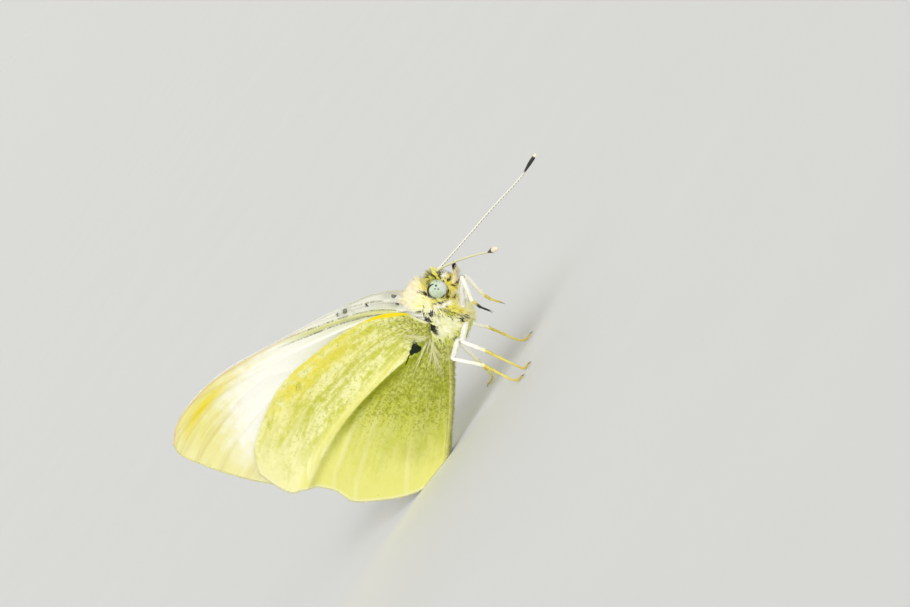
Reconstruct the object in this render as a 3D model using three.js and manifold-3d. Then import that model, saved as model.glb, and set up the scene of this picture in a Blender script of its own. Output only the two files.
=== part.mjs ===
// A small white butterfly, life size, standing with its wings closed over its back.
// Millimetres. +X is forward, +Y the butterfly's left, +Z up. The floor is z = 0 and the
// origin lies on it, under the middle of the model.
//
// The body is laid out in a frame of its own, with its origin in the middle of the chest and
// its X axis along the back. That frame is then tipped head up and lifted on to the legs.

import * as THREE from "three";
import { mergeVertices } from "three/addons/utils/BufferGeometryUtils.js";
import Module from "manifold-3d";

const wasm = await Module();
wasm.setup();

// ---------------------------------------------------------------- driving dimensions

const BODY_PITCH = THREE.MathUtils.degToRad(15); // the back rises this much towards the head
const CHEST_HEIGHT = 7.1; // middle of the chest above the floor

const WING_THICKNESS = 0.5;
const WING_GAP = 0.06; // between two wings that lie side by side
const JOINT_GAP = 0.03; // between a piece and the one it grows from

const HEAD_CENTRE = new THREE.Vector3(3.05, 0, 1.45);
const HEAD_TURN = THREE.MathUtils.degToRad(-12); // the head looks a little to the right
const HEAD_RADII = new THREE.Vector3(1.4, 1.0, 1.3);
const EYE_CENTRE = new THREE.Vector3(0, 0.8, 0.15); // of the left eye, from the head's centre
const EYE_RADII = new THREE.Vector3(0.8, 0.68, 0.8);

const ANTENNA_ROOT = new THREE.Vector3(1.1, 0.28, 0.6); // of the left one, from the head's centre
const ANTENNA_LENGTH = 12.35;
const ANTENNA_SPREAD = THREE.MathUtils.degToRad(36.4); // from the head's middle line
const ANTENNA_DIP = THREE.MathUtils.degToRad(6.4); // below the level
const ANTENNA_ARCH = 0.1; // rise of the middle of the shaft, and of the club's tip
const ANTENNA_RADIUS = 0.25;
const CLUB_LENGTH = 2.0;
const CLUB_RADIUS = 0.3;

const PALP_ROOT = new THREE.Vector3(0.75, 0.3, -0.85);
const PALP_TIP = new THREE.Vector3(2.2, 0.22, -0.35);
const PALP_RADIUS = 0.3;

const TONGUE_CENTRE = new THREE.Vector3(1.35, 0, -1.25);
const TONGUE_RADIUS = 0.55;
const TONGUE_HALF_WIDTH = 0.25;

const TARSUS_RADIUS = 0.25;
const TIBIA_RADIUS = 0.26;
const FEMUR_RADIUS = 0.34;

// Facets of each piece, round it or across it, then along it.
const THORAX_GRID = [20, 14];
const ABDOMEN_GRID = [14, 13];
const HEAD_GRID = [18, 12];
const EYE_GRID = [14, 10];
const FOREWING_GRID = [9, 15];
const HINDWING_GRID = [14, 12];
const TUBE_SIDES = 8;

// Lengthwise stations of a body piece: x, height of the middle, half width, half height.
const THORAX = [
  [3.1, 1.2, 0, 0],
  [2.6, 1.25, 1.2, 1.85],
  [2.0, 0.95, 1.6, 2.6],
  [1.0, 0.8, 1.92, 2.98],
  [0.0, 0.68, 1.95, 2.9],
  [-1.0, 0.55, 1.75, 2.5],
  [-2.0, 0.35, 1.25, 1.8],
  [-2.6, 0.25, 0, 0],
];
const ABDOMEN = [
  [-1.9, 0.3, 0, 0],
  [-2.3, 0.28, 0.95, 1.15],
  [-4.0, 0.15, 1.12, 1.3],
  [-6.5, -0.1, 1.15, 1.32],
  [-9.0, -0.45, 1.0, 1.15],
  [-10.8, -0.75, 0.62, 0.75],
  [-11.5, -0.9, 0, 0],
];

// Wing outlines in the plane of the closed wings, as [x, z] points of smooth curves.
// "front" and "rear" run from the hinge to the two ends of the outer edge.
const FOREWING = {
  front: [[1.0, 2.2], [1.1, 4.0], [0.25, 5.95], [-2.0, 8.2], [-6.6, 11.95], [-11.4, 15.6],
    [-14.7, 17.15], [-17.6, 17.75], [-19.15, 17.45]],
  rear: [[-0.2, 1.2], [-5.5, 2.0], [-12, 3.1], [-16.9, 4.2]],
  outer: [[-19.15, 17.45], [-19.85, 16.5], [-20, 14.4], [-19.9, 11.8], [-19.45, 8.8], [-18.5, 6.0],
    [-16.9, 4.2]],
};
const HINDWING = {
  front: [[0.35, 1.5], [0.05, 3.1], [-1.0, 5.0], [-3.2, 7.05], [-6.9, 9.25], [-10.3, 10.75],
    [-14.2, 11.15], [-17.0, 10.85], [-18.7, 9.8]],
  rear: [[-0.4, -0.2], [-3.0, -1.5], [-6.5, -2.75], [-10, -3.75], [-12.3, -4.4]],
  outer: [[-18.7, 9.8], [-19.2, 8.3], [-19.3, 6.8], [-18.6, 5.95], [-17.9, 4.4], [-17.85, 2.9],
    [-18.15, 1.8], [-17.4, 0], [-15.9, -2.3], [-14.3, -3.7], [-12.3, -4.4]],
};
const WING_HINGE = new THREE.Vector2(0.6, 1.6);
const WING_ROOT_SPREAD = 0.62; // the hinges stand this much farther out than the closed wings
const WING_ROOT_REACH = 2.6; // how far from the hinge that spread dies away
const ABDOMEN_GUTTER = 0.68; // the hindwings bulge this much round the abdomen
const GUTTER_HALF_HEIGHT = 1.9;
const FOLD_RISE = 0.3; // height of the fold along each hindwing

// The legs. The hip is in the body's frame, the other joints in the floor's frame, all of them
// for the right side as [x, distance to the side, z]. The forelegs are held up under the head;
// the last two points of the other feet lie on the floor.
const LEGS = {
  front_right: { hip: [2.1, 0.75, -1.2], knee: [4.75, 1.45, 8.5], ankle: [3.75, 1.9, 6.75],
    tarsus: [[3.72, 2.0, 6.0], [3.95, 2.1, 5.15]] },
  front_left: { hip: [2.1, 0.75, -1.2], knee: [3.8, 1.5, 7.9], ankle: [3.1, 2.0, 5.7],
    tarsus: [[3.1, 2.1, 5.0], [3.35, 2.2, 4.1]] },
  mid_right: { hip: [0.9, 0.8, -1.6], knee: [0.45, 2.4, 5.4], ankle: [1.35, 3.3, 3.6],
    tarsus: [[1.7, 3.5, 2.0], [1.95, 3.6, 0.85], [2.15, 3.65, 0.22], [2.75, 3.75, 0.19]] },
  mid_left: { hip: [0.9, 0.8, -1.6], knee: [-0.1, 2.5, 5.5], ankle: [0.3, 3.5, 3.5],
    tarsus: [[0.5, 3.8, 1.9], [0.7, 4.0, 0.7], [1.0, 4.15, 0.22], [1.6, 4.35, 0.19]] },
  hind_right: { hip: [-0.5, 0.8, -1.5], knee: [-1.2, 2.6, 5.15], ankle: [0.45, 3.8, 2.95],
    tarsus: [[0.8, 4.2, 1.6], [1.1, 4.5, 0.6], [1.4, 4.65, 0.22], [2.0, 4.85, 0.19]] },
  hind_left: { hip: [-0.5, 0.8, -1.5], knee: [-2.0, 2.8, 5.0], ankle: [-2.9, 4.0, 2.4],
    tarsus: [[-3.3, 4.4, 1.2], [-3.6, 4.65, 0.45], [-4.0, 4.85, 0.22], [-4.6, 5.05, 0.19]] },
};

// ---------------------------------------------------------------- colours

const COLOURS = {
  hair: [0xe8dfae, 0.9],
  chest: [0xe6d98a, 0.9],
  eye: [0xcfe0c0, 0.35],
  palp: [0xd9cf9a, 0.8],
  proboscis: [0x9a5a26, 0.5],
  antenna: [0xe9e6d2, 0.6],
  club: [0x26221c, 0.5],
  forewing: [0xf4f2de, 0.8],
  hindwing: [0xdede8c, 0.8],
  thigh: [0xf1efdc, 0.8],
  shin: [0xe3da7c, 0.7],
  foot: [0xb99226, 0.6],
};

// ---------------------------------------------------------------- small tools

// A geometry with only its corners kept, each shared by the triangles that meet there.
function welded(geometry) {
  const plain = geometry.index ? geometry.toNonIndexed() : geometry.clone();
  plain.deleteAttribute("normal");
  plain.deleteAttribute("uv");
  return mergeVertices(plain, 1e-4);
}

function toSolid(geometry) {
  const shape = welded(geometry);
  const mesh = new wasm.Mesh({
    numProp: 3,
    vertProperties: new Float32Array(shape.attributes.position.array),
    triVerts: new Uint32Array(shape.index.array),
  });
  return new wasm.Manifold(mesh);
}

function toGeometry(solid) {
  const mesh = solid.getMesh();
  const geometry = new THREE.BufferGeometry();
  geometry.setAttribute("position", new THREE.BufferAttribute(mesh.vertProperties, 3));
  geometry.setIndex(new THREE.BufferAttribute(mesh.triVerts, 1));
  geometry.computeVertexNormals();
  return geometry;
}

// What is left of a piece, as one body, once its neighbours are cut away from it.
function cutBy(geometry, neighbours) {
  let solid = toSolid(geometry);
  for (const neighbour of neighbours) {
    solid = solid.subtract(toSolid(neighbour));
  }
  const bodies = solid.decompose();
  bodies.sort((a, b) => b.volume() - a.volume());
  return toGeometry(bodies[0]);
}

// A curve through points, read at any place between 0 and 1.
function smoothCurve(points) {
  return new THREE.CatmullRomCurve3(
    points.map((p) => (p.isVector3 ? p : new THREE.Vector3(p[0], p[1], p[2] ?? 0))),
    false,
    "centripetal",
  );
}

// The transform from the body's frame to the floor's frame.
const BODY_FRAME = new THREE.Matrix4()
  .makeRotationY(-BODY_PITCH)
  .setPosition(0, 0, CHEST_HEIGHT);

// The transform from the head's frame to the floor's frame.
const HEAD_FRAME = BODY_FRAME.clone()
  .multiply(new THREE.Matrix4().makeTranslation(HEAD_CENTRE))
  .multiply(new THREE.Matrix4().makeRotationZ(HEAD_TURN));

const inBody = (point) => point.clone().applyMatrix4(BODY_FRAME);
const inHead = (point) => point.clone().applyMatrix4(HEAD_FRAME);
const sided = (point, side) => new THREE.Vector3(point.x, point.y * side, point.z);

// ---------------------------------------------------------------- shapes

// A body piece swept through stations: a sphere's rings are moved to their places along it.
function bodyOf(stations, around, along, grow = 0) {
  const middle = smoothCurve(stations.map(([x, z]) => [x, 0, z]));
  const size = smoothCurve(stations.map(([, , w, h]) => [w, h, 0]));
  const geometry = new THREE.SphereGeometry(1, around, along);
  const position = geometry.attributes.position;
  const place = new THREE.Vector3();
  for (let i = 0; i < position.count; i += 1) {
    place.fromBufferAttribute(position, i);
    const t = Math.acos(THREE.MathUtils.clamp(place.y, -1, 1)) / Math.PI;
    const centre = middle.getPoint(t);
    const radii = size.getPoint(t);
    const ring = Math.hypot(place.x, place.z);
    const atPole = ring < 1e-6;
    const side = atPole ? 0 : -place.x / ring;
    const top = atPole ? 0 : place.z / ring;
    position.setXYZ(
      i,
      centre.x + grow * (1 - 2 * t),
      side * (radii.x + grow),
      centre.z + top * (radii.y + grow),
    );
  }
  return geometry.applyMatrix4(BODY_FRAME);
}

function ellipsoid(radii, centre, around, along, frame, grow = 0) {
  return new THREE.SphereGeometry(1, around, along)
    .rotateX(Math.PI / 2)
    .scale(radii.x + grow, radii.y + grow, radii.z + grow)
    .translate(centre.x, centre.y, centre.z)
    .applyMatrix4(frame);
}

// A tapered limb with round ends, from one joint to the next.
function limb(from, to, radiusFrom, radiusTo, grow = 0) {
  const length = from.distanceTo(to);
  const profile = [];
  const capSteps = 3;
  for (let i = 0; i <= capSteps; i += 1) {
    const angle = (Math.PI / 2) * (i / capSteps);
    const r = radiusFrom + grow;
    profile.push(new THREE.Vector2(r * Math.sin(angle), -r * Math.cos(angle)));
  }
  for (let i = 0; i <= capSteps; i += 1) {
    const angle = (Math.PI / 2) * (i / capSteps);
    const r = radiusTo + grow;
    profile.push(new THREE.Vector2(r * Math.cos(angle), length + r * Math.sin(angle)));
  }
  profile[0].x = 0;
  profile.at(-1).x = 0;
  const turn = new THREE.Quaternion().setFromUnitVectors(
    new THREE.Vector3(0, 1, 0),
    to.clone().sub(from).normalize(),
  );
  return new THREE.LatheGeometry(profile, TUBE_SIDES)
    .applyQuaternion(turn)
    .translate(from.x, from.y, from.z);
}

// A tube of even thickness through points.
function tube(points, radius, steps) {
  const ring = new THREE.Shape();
  for (let i = 0; i < TUBE_SIDES; i += 1) {
    const angle = (2 * Math.PI * i) / TUBE_SIDES;
    const x = radius * Math.cos(angle);
    const y = radius * Math.sin(angle);
    if (i === 0) ring.moveTo(x, y);
    else ring.lineTo(x, y);
  }
  ring.closePath();
  return new THREE.ExtrudeGeometry(ring, {
    steps,
    extrudePath: smoothCurve(points),
    bevelEnabled: false,
  });
}

// How far the middle of a forewing lies from the middle plane of the body.
function forewingOffset(x, z) {
  const fromHinge = Math.hypot(x - WING_HINGE.x, z - WING_HINGE.y);
  const flat = WING_THICKNESS / 2 + WING_GAP / 2;
  return flat + WING_ROOT_SPREAD * Math.exp(-((fromHinge / WING_ROOT_REACH) ** 2));
}

// The line of the fold that runs from the base of a hindwing to its outer edge: a gentle arch.
function foldHeight(x) {
  const back = -x;
  return 2.09 + 0.3974 * (back - 3.75) - 0.0184 * (back - 3.75) * (back - 11.3);
}

// A hindwing lies outside the forewing, bulges round the abdomen and is raised along its fold.
function hindwingOffset(x, z) {
  const abdomenLine = 0.35 + 0.1 * x;
  const beside = THREE.MathUtils.smoothstep(x, -13.5, -10.5);
  const bell = Math.exp(-(((z - abdomenLine) / GUTTER_HALF_HEIGHT) ** 2));
  const gutter = (WING_THICKNESS + WING_GAP) / 2 + ABDOMEN_GUTTER * beside * bell;
  const inner = (forewingOffset(x, z) ** 6 + gutter ** 6) ** (1 / 6);
  const grown = THREE.MathUtils.smoothstep(-x, 2, 8);
  const fold = FOLD_RISE * grown * Math.exp(-((z - foldHeight(x)) ** 2));
  return inner + WING_THICKNESS + WING_GAP + fold;
}

// The point (u, v) of the patch that four edges enclose: u runs from the front edge to the rear
// edge, and v from the root to the outer edge.
function patchPoint(edges, u, v) {
  const { front, rear, outer } = edges;
  const mix = (a, b, share) => a.clone().lerp(b, share);
  const acrossPatch = mix(front.getPoint(v), rear.getPoint(v), u);
  const root = mix(front.getPoint(0), rear.getPoint(0), u);
  const alongPatch = mix(root, outer.getPoint(u), v);
  const corners = mix(root, mix(front.getPoint(1), rear.getPoint(1), u), v);
  return acrossPatch.add(alongPatch).sub(corners);
}

// A wing: a thin box whose grid is stretched over the patch between the wing's edges.
function wing(outline, offset, side, across, along) {
  const edges = {
    front: smoothCurve(outline.front),
    rear: smoothCurve(outline.rear),
    outer: smoothCurve(outline.outer),
  };
  const geometry = new THREE.BoxGeometry(1, 1, 1, across, 1, along);
  const position = geometry.attributes.position;
  for (let i = 0; i < position.count; i += 1) {
    const flat = patchPoint(edges, position.getX(i) + 0.5, position.getZ(i) + 0.5);
    const outward = offset(flat.x, flat.y) + position.getY(i) * WING_THICKNESS;
    position.setXYZ(i, flat.x, outward * side, flat.y);
  }
  if (side > 0) turnInsideOut(geometry);
  return geometry.applyMatrix4(BODY_FRAME);
}

function turnInsideOut(geometry) {
  const index = geometry.index;
  for (let i = 0; i < index.count; i += 3) {
    const keep = index.getX(i);
    index.setX(i, index.getX(i + 1));
    index.setX(i + 1, keep);
  }
}

// Everything below the floor, to give whatever stands on it a small flat.
function underFloor() {
  return new THREE.BoxGeometry(80, 40, 4).translate(0, 0, -2);
}

// ---------------------------------------------------------------- the butterfly

const butterfly = new THREE.Group();
butterfly.name = "butterfly";

function add(name, geometry, [colour, roughness]) {
  const material = new THREE.MeshStandardMaterial({ color: colour, roughness, metalness: 0 });
  const mesh = new THREE.Mesh(welded(geometry), material);
  mesh.name = name;
  butterfly.add(mesh);
  return mesh;
}

const SIDES = { right: -1, left: 1 };

function addBody() {
  add("thorax", bodyOf(THORAX, ...THORAX_GRID), COLOURS.chest);
  const abdomen = cutBy(bodyOf(ABDOMEN, ...ABDOMEN_GRID), [bodyOf(THORAX, ...THORAX_GRID, JOINT_GAP)]);
  add("abdomen", abdomen, COLOURS.hair);
}

function headPiece(grow) {
  return ellipsoid(HEAD_RADII, new THREE.Vector3(), ...HEAD_GRID, HEAD_FRAME, grow);
}

function eyePiece(side, grow) {
  return ellipsoid(EYE_RADII, sided(EYE_CENTRE, side), ...EYE_GRID, HEAD_FRAME, grow);
}

function addHead() {
  const thorax = bodyOf(THORAX, ...THORAX_GRID, JOINT_GAP);
  const sockets = [eyePiece(-1, JOINT_GAP), eyePiece(1, JOINT_GAP)];
  add("head", cutBy(headPiece(0), [thorax, ...sockets]), COLOURS.hair);
  for (const [name, side] of Object.entries(SIDES)) {
    add(`eye_${name}`, cutBy(eyePiece(side, 0), [thorax]), COLOURS.eye);
    addAntenna(name, side, sockets);
    addPalp(name, side, sockets);
  }
  addProboscis();
}

function addAntenna(name, side, sockets) {
  const level = new THREE.Vector3(
    Math.cos(ANTENNA_SPREAD * side + HEAD_TURN),
    Math.sin(ANTENNA_SPREAD * side + HEAD_TURN),
    0,
  );
  const root = inHead(sided(ANTENNA_ROOT, side));
  const at = (distance, lift) =>
    root
      .clone()
      .addScaledVector(level, distance * Math.cos(ANTENNA_DIP))
      .add(new THREE.Vector3(0, 0, lift - distance * Math.sin(ANTENNA_DIP)));
  const shaftLength = ANTENNA_LENGTH - CLUB_LENGTH;
  const route = [at(0, 0), at(shaftLength / 2, ANTENNA_ARCH), at(shaftLength, 0)];
  const shaft = tube(route, ANTENNA_RADIUS, 9);
  const neighbours = [headPiece(JOINT_GAP), ...sockets];
  add(`antenna_${name}_shaft`, cutBy(shaft, neighbours), COLOURS.antenna);
  const clubFrom = at(shaftLength + CLUB_RADIUS, 0);
  const clubTo = at(ANTENNA_LENGTH - CLUB_RADIUS, ANTENNA_ARCH);
  const club = limb(clubFrom, clubTo, CLUB_RADIUS * 0.85, CLUB_RADIUS);
  route[2] = at(shaftLength + JOINT_GAP, 0);
  const shaftEnd = tube(route, ANTENNA_RADIUS + JOINT_GAP, 9);
  add(`antenna_${name}_club`, cutBy(club, [shaftEnd]), COLOURS.club);
}

function palpPiece(side, grow) {
  const root = inHead(sided(PALP_ROOT, side));
  const tip = inHead(sided(PALP_TIP, side));
  return limb(root, tip, PALP_RADIUS, PALP_RADIUS * 0.62, grow);
}

function addPalp(name, side, sockets) {
  const middle = new THREE.BoxGeometry(8, JOINT_GAP, 8).applyMatrix4(HEAD_FRAME);
  const neighbours = [headPiece(JOINT_GAP), ...sockets, middle];
  add(`palp_${name}`, cutBy(palpPiece(side, 0), neighbours), COLOURS.palp);
}

// The coiled tongue hangs under the palps, as one flat ring.
function addProboscis() {
  const sides = 10;
  const profile = [];
  for (let i = 0; i < sides; i += 1) {
    const angle = (2 * Math.PI * i) / sides;
    const out = TONGUE_RADIUS - TONGUE_HALF_WIDTH + TONGUE_HALF_WIDTH * Math.cos(angle);
    profile.push(new THREE.Vector2(out, TONGUE_HALF_WIDTH * Math.sin(angle)));
  }
  profile.push(profile[0].clone());
  const coil = new THREE.LatheGeometry(profile, 14)
    .translate(TONGUE_CENTRE.x, TONGUE_CENTRE.y, TONGUE_CENTRE.z)
    .applyMatrix4(HEAD_FRAME);
  const palps = Object.values(SIDES).map((side) => palpPiece(side, JOINT_GAP));
  add("proboscis", cutBy(coil, [headPiece(JOINT_GAP), ...palps]), COLOURS.proboscis);
}

function addWings() {
  const body = [bodyOf(THORAX, ...THORAX_GRID, JOINT_GAP), bodyOf(ABDOMEN, ...ABDOMEN_GRID, JOINT_GAP)];
  for (const [name, side] of Object.entries(SIDES)) {
    const fore = wing(FOREWING, forewingOffset, side, ...FOREWING_GRID);
    add(`forewing_${name}`, cutBy(fore, body), COLOURS.forewing);
    const hind = wing(HINDWING, hindwingOffset, side, ...HINDWING_GRID);
    add(`hindwing_${name}`, cutBy(hind, [...body, underFloor()]), COLOURS.hindwing);
  }
}

function addLegs() {
  const thorax = bodyOf(THORAX, ...THORAX_GRID, JOINT_GAP);
  for (const [name, leg] of Object.entries(LEGS)) {
    const side = name.endsWith("right") ? -1 : 1;
    const point = ([x, y, z]) => new THREE.Vector3(x, y * side, z);
    const hip = inBody(point(leg.hip));
    const knee = point(leg.knee);
    const ankle = point(leg.ankle);
    const femur = (grow) => limb(hip, knee, FEMUR_RADIUS, FEMUR_RADIUS * 0.8, grow);
    const tibia = (grow) => limb(knee, ankle, TIBIA_RADIUS, TIBIA_RADIUS, grow);
    add(`leg_${name}_femur`, cutBy(femur(0), [thorax]), COLOURS.thigh);
    add(`leg_${name}_tibia`, cutBy(tibia(0), [thorax, femur(JOINT_GAP)]), COLOURS.shin);
    const foot = tube([ankle, ...leg.tarsus.map(point)], TARSUS_RADIUS, 9);
    add(`leg_${name}_tarsus`, cutBy(foot, [tibia(JOINT_GAP), underFloor()]), COLOURS.foot);
  }
}

addBody();
addHead();
addWings();
addLegs();

// The origin goes to the floor under the middle of the whole model.
const model = new THREE.Group();
model.add(butterfly);
const box = new THREE.Box3().setFromObject(butterfly);
const centre = box.getCenter(new THREE.Vector3());
butterfly.position.set(-centre.x, -centre.y, -box.min.z);

export default model;
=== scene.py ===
# %% [markdown]
# # A small white butterfly at rest
# The butterfly stands on its hind and middle legs and on the lower corners of its hindwings, with
# its wings closed over its back. Its solid model is already packed; here it gets its looks: wings
# as thin as paper with raised veins, a woolly body, jewel-like eyes and ringed feelers.
# Everything is made by code, so that a change of one number at the top of a cell can be tried at
# once.

# %% Load the solid model
import math
from types import SimpleNamespace

import bpy
import numpy as np
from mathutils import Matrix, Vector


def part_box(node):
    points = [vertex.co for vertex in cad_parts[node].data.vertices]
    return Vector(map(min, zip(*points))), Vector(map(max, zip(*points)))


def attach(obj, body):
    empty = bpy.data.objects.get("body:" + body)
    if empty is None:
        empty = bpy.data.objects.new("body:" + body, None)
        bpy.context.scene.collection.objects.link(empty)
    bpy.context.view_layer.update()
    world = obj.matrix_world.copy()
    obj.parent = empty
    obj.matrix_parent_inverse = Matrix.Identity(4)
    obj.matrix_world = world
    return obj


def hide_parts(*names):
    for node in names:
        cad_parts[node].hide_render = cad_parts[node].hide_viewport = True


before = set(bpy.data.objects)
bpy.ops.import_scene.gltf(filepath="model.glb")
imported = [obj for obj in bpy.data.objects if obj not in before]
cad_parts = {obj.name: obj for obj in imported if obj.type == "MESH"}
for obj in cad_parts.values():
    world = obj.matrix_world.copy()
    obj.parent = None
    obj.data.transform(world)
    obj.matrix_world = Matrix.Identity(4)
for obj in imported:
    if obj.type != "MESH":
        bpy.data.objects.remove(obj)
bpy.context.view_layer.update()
MM = 0.001
FLOOR_GAP = 0.03 * MM  # claws, fringes and leg hairs end this far above the floor

# %% [markdown]
# ## Numbers in the butterfly's own axes
# It is easier to place a vein or an eye along the animal than along the floor, so most sizes below
# are millimetres in the body's own axes: x runs forward along the back, y to its left and z
# towards its back. The body leans up by 15 degrees. The place of the chest along the floor is read
# from the solid eyes and its height is given, so that the dressed model sits on the solid one.

# %% Body axes and floor axes
BODY_PITCH = math.radians(15)
HEAD_TURN = math.radians(-12)
HEAD_CENTRE = np.array([3.05, 0.0, 1.45])
EYE_CENTRE = np.array([0.0, 0.8, 0.15])
SIDES = {"right": -1, "left": 1}


def sided(point, side):
    """The point on the right (side -1) or left (side 1) of the body."""
    return np.asarray(point, float) * [1, side, 1]


def turned(first, second, angle):
    """Two coordinates after a turn in their plane."""
    c, s = math.cos(angle), math.sin(angle)
    return c * first - s * second, s * first + c * second


def head_to_body(points):
    x, y, z = np.atleast_2d(points).T
    return np.column_stack((*turned(x, y, HEAD_TURN), z)) + HEAD_CENTRE


def body_to_head(points):
    x, y, z = (np.atleast_2d(points) - HEAD_CENTRE).T
    return np.column_stack((*turned(x, y, -HEAD_TURN), z))


def leaned(points):
    x, y, z = np.atleast_2d(points).T
    x, z = turned(x, z, BODY_PITCH)
    return np.column_stack((x, y, z))


def find_chest():
    places = []
    for name, side in SIDES.items():
        low, high = (np.array(corner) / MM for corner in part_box(f"eye_{name}"))
        places.append((low + high) / 2 - leaned(head_to_body(sided(EYE_CENTRE, side)))[0])
    return np.mean(places, axis=0)


CHEST = find_chest()
CHEST[2] = 7.1
print("middle of the chest above the floor frame, mm:", CHEST.round(2))


def from_body(points):
    """Body axes in millimetres to floor axes in metres."""
    return (leaned(points) + CHEST) * MM


def to_body(points):
    x, y, z = (np.atleast_2d(points) / MM - CHEST).T
    x, z = turned(x, z, -BODY_PITCH)
    return np.column_stack((x, y, z))


# %% [markdown]
# ## Shader maths as plain sums
# A procedural finish is a sum of masks: how near is a vein, how far along the wing, how strong is
# a noise. Wiring each Math node by hand hides that sum, so a small class wraps an output socket
# and lets Python's own signs add the nodes. A finish is one material with one Principled shader.

# %% Readings and finishes
class Reading:
    """A value or colour that changes over a surface."""

    def __init__(self, finish, socket):
        self.finish, self.socket = finish, socket

    def maths(self, operation, *terms):
        return self.finish.node("Math", {"operation": operation}, dict(enumerate(terms)))

    def __add__(self, other):
        return self.maths("ADD", self, other)

    __radd__ = __add__

    def __mul__(self, other):
        return self.maths("MULTIPLY", self, other)

    __rmul__ = __mul__

    def __sub__(self, other):
        return self.maths("SUBTRACT", self, other)

    def __rsub__(self, other):
        return self.maths("SUBTRACT", other, self)

    def __truediv__(self, other):
        return self.maths("DIVIDE", self, other)

    def __abs__(self):
        return self.maths("ABSOLUTE", self)

    def most(self, other):
        return self.maths("MAXIMUM", self, other)

    def rise(self, low, high):
        """0 below low, 1 above high, and a smooth step between; low may be the larger."""
        if low > high:
            return 1 - self.rise(high, low)
        settings = {"interpolation_type": "SMOOTHSTEP"}
        return self.finish.node("MapRange", settings, {0: self, 1: low, 2: high})

    def near(self, middle, reach):
        """1 at the middle and 0 from reach away on."""
        return abs(self - middle).rise(reach, 0)

    def parts(self):
        split = self.finish.node("SeparateXYZ", {}, {0: self}).socket.node
        return [Reading(self.finish, socket) for socket in split.outputs]


class Finish:
    """One material, its nodes and the shader at their end."""

    def __init__(self, name):
        self.material = bpy.data.materials.new(name)
        self.material.use_nodes = True
        self.tree = self.material.node_tree
        self.shader = self.tree.nodes["Principled BSDF"]

    def node(self, kind, settings, sockets, output=0):
        made = self.tree.nodes.new("ShaderNode" + kind)
        for key, value in settings.items():
            setattr(made, key, value)
        self.plug(made, sockets)
        return Reading(self, made.outputs[output])

    def plug(self, made, sockets):
        for key, value in sockets.items():
            if isinstance(value, Reading):
                self.tree.links.new(value.socket, made.inputs[key])
            else:
                made.inputs[key].default_value = value

    def reading(self, name, output="Fac"):
        """A value stored on the mesh's points under this name."""
        return self.node("Attribute", {"attribute_name": name}, {}, output)

    def mix(self, share, first, second):
        """From the first colour to the second as share goes from 0 to 1."""
        settings = {"data_type": "RGBA", "clamp_factor": True}
        return self.node("Mix", settings, {0: share, 6: first, 7: second}, 2)

    def stretched(self, place, scale):
        return self.node("VectorMath", {"operation": "MULTIPLY"}, {0: place, 1: scale})

    def noise(self, place, scale, detail=2.0, roughness=0.5):
        sockets = {"Vector": place, "Scale": scale, "Detail": detail, "Roughness": roughness}
        return self.node("TexNoise", {}, sockets)

    def cells(self, place, scale, feature="F1"):
        return self.node("TexVoronoi", {"feature": feature}, {"Vector": place, "Scale": scale})

    def place(self):
        """Where a point is on the object, in millimetres."""
        metres = self.node("TexCoord", {}, {}, "Object")
        return self.stretched(metres, (1000.0, 1000.0, 1000.0))

    def bump(self, height, depth):
        """A normal that shows height, which runs from 0 to 1, as relief of that many millimetres."""
        return self.node("Bump", {}, {"Height": height, "Distance": depth * MM})

    def shade(self, colour, roughness, glow=0.0, **sockets):
        """Plugs the shader; glow is painted light: the surface emits its own colour in place of
        the light that shines through a hair.
        """
        sockets.update(Base_Color=colour, Roughness=roughness)
        if glow:
            sockets.update(Emission_Color=colour, Emission_Strength=glow)
        self.plug(self.shader, {key.replace("_", " "): value for key, value in sockets.items()})
        return self.material


def paint(red, green, blue):
    """A colour from its everyday 0 to 255 values."""
    def linear(share):
        return share / 12.92 if share <= 0.04045 else ((share + 0.055) / 1.055) ** 2.4

    return (*(linear(value / 255) for value in (red, green, blue)), 1.0)


print("cream renders as", [round(value, 3) for value in paint(240, 228, 205)])

# %% [markdown]
# ## From arrays to a piece
# The shapes below are worked out as arrays of points, because whole wings and coats are easier to
# bend as arrays than vertex by vertex. One helper turns the arrays into a mesh, stores the values
# that its finish reads, and hides the solids that the piece stands for.

# %% Make a piece
def add_piece(name, points, faces, material, stands_for=(), stored=None, patches=None,
              normals=None):
    """points in metres; stored maps a name to one value or one vector per point; patches is the
    place of each point on the map that colours are baked to; normals replace its own for light."""
    faces = np.asarray(faces, np.int32)
    mesh = bpy.data.meshes.new(name)
    mesh.vertices.add(len(points))
    mesh.vertices.foreach_set("co", np.asarray(points, np.float32).ravel())
    mesh.loops.add(faces.size)
    mesh.loops.foreach_set("vertex_index", faces.ravel())
    mesh.polygons.add(len(faces))
    mesh.polygons.foreach_set("loop_start", np.arange(0, faces.size, faces.shape[1], dtype=np.int32))
    mesh.polygons.foreach_set("use_smooth", np.ones(len(faces), bool))
    mesh.update(calc_edges=True)
    for key, values in (stored or {}).items():
        values = np.asarray(values, np.float32)
        kind, field = ("FLOAT", "value") if values.ndim == 1 else ("FLOAT_VECTOR", "vector")
        mesh.attributes.new(key, kind, "POINT").data.foreach_set(field, values.ravel())
    if patches is not None:
        layer = mesh.uv_layers.new(name="OFBake")
        layer.data.foreach_set("uv", np.asarray(patches, np.float32)[faces.ravel()].ravel())
    if normals is not None:
        mesh.normals_split_custom_set_from_vertices(np.asarray(normals, np.float32).tolist())
    mesh.materials.append(material)
    piece = bpy.data.objects.new(name, mesh)
    bpy.context.scene.collection.objects.link(piece)
    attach(piece, "root")
    if stands_for:
        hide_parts(*stands_for)
    return piece


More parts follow.
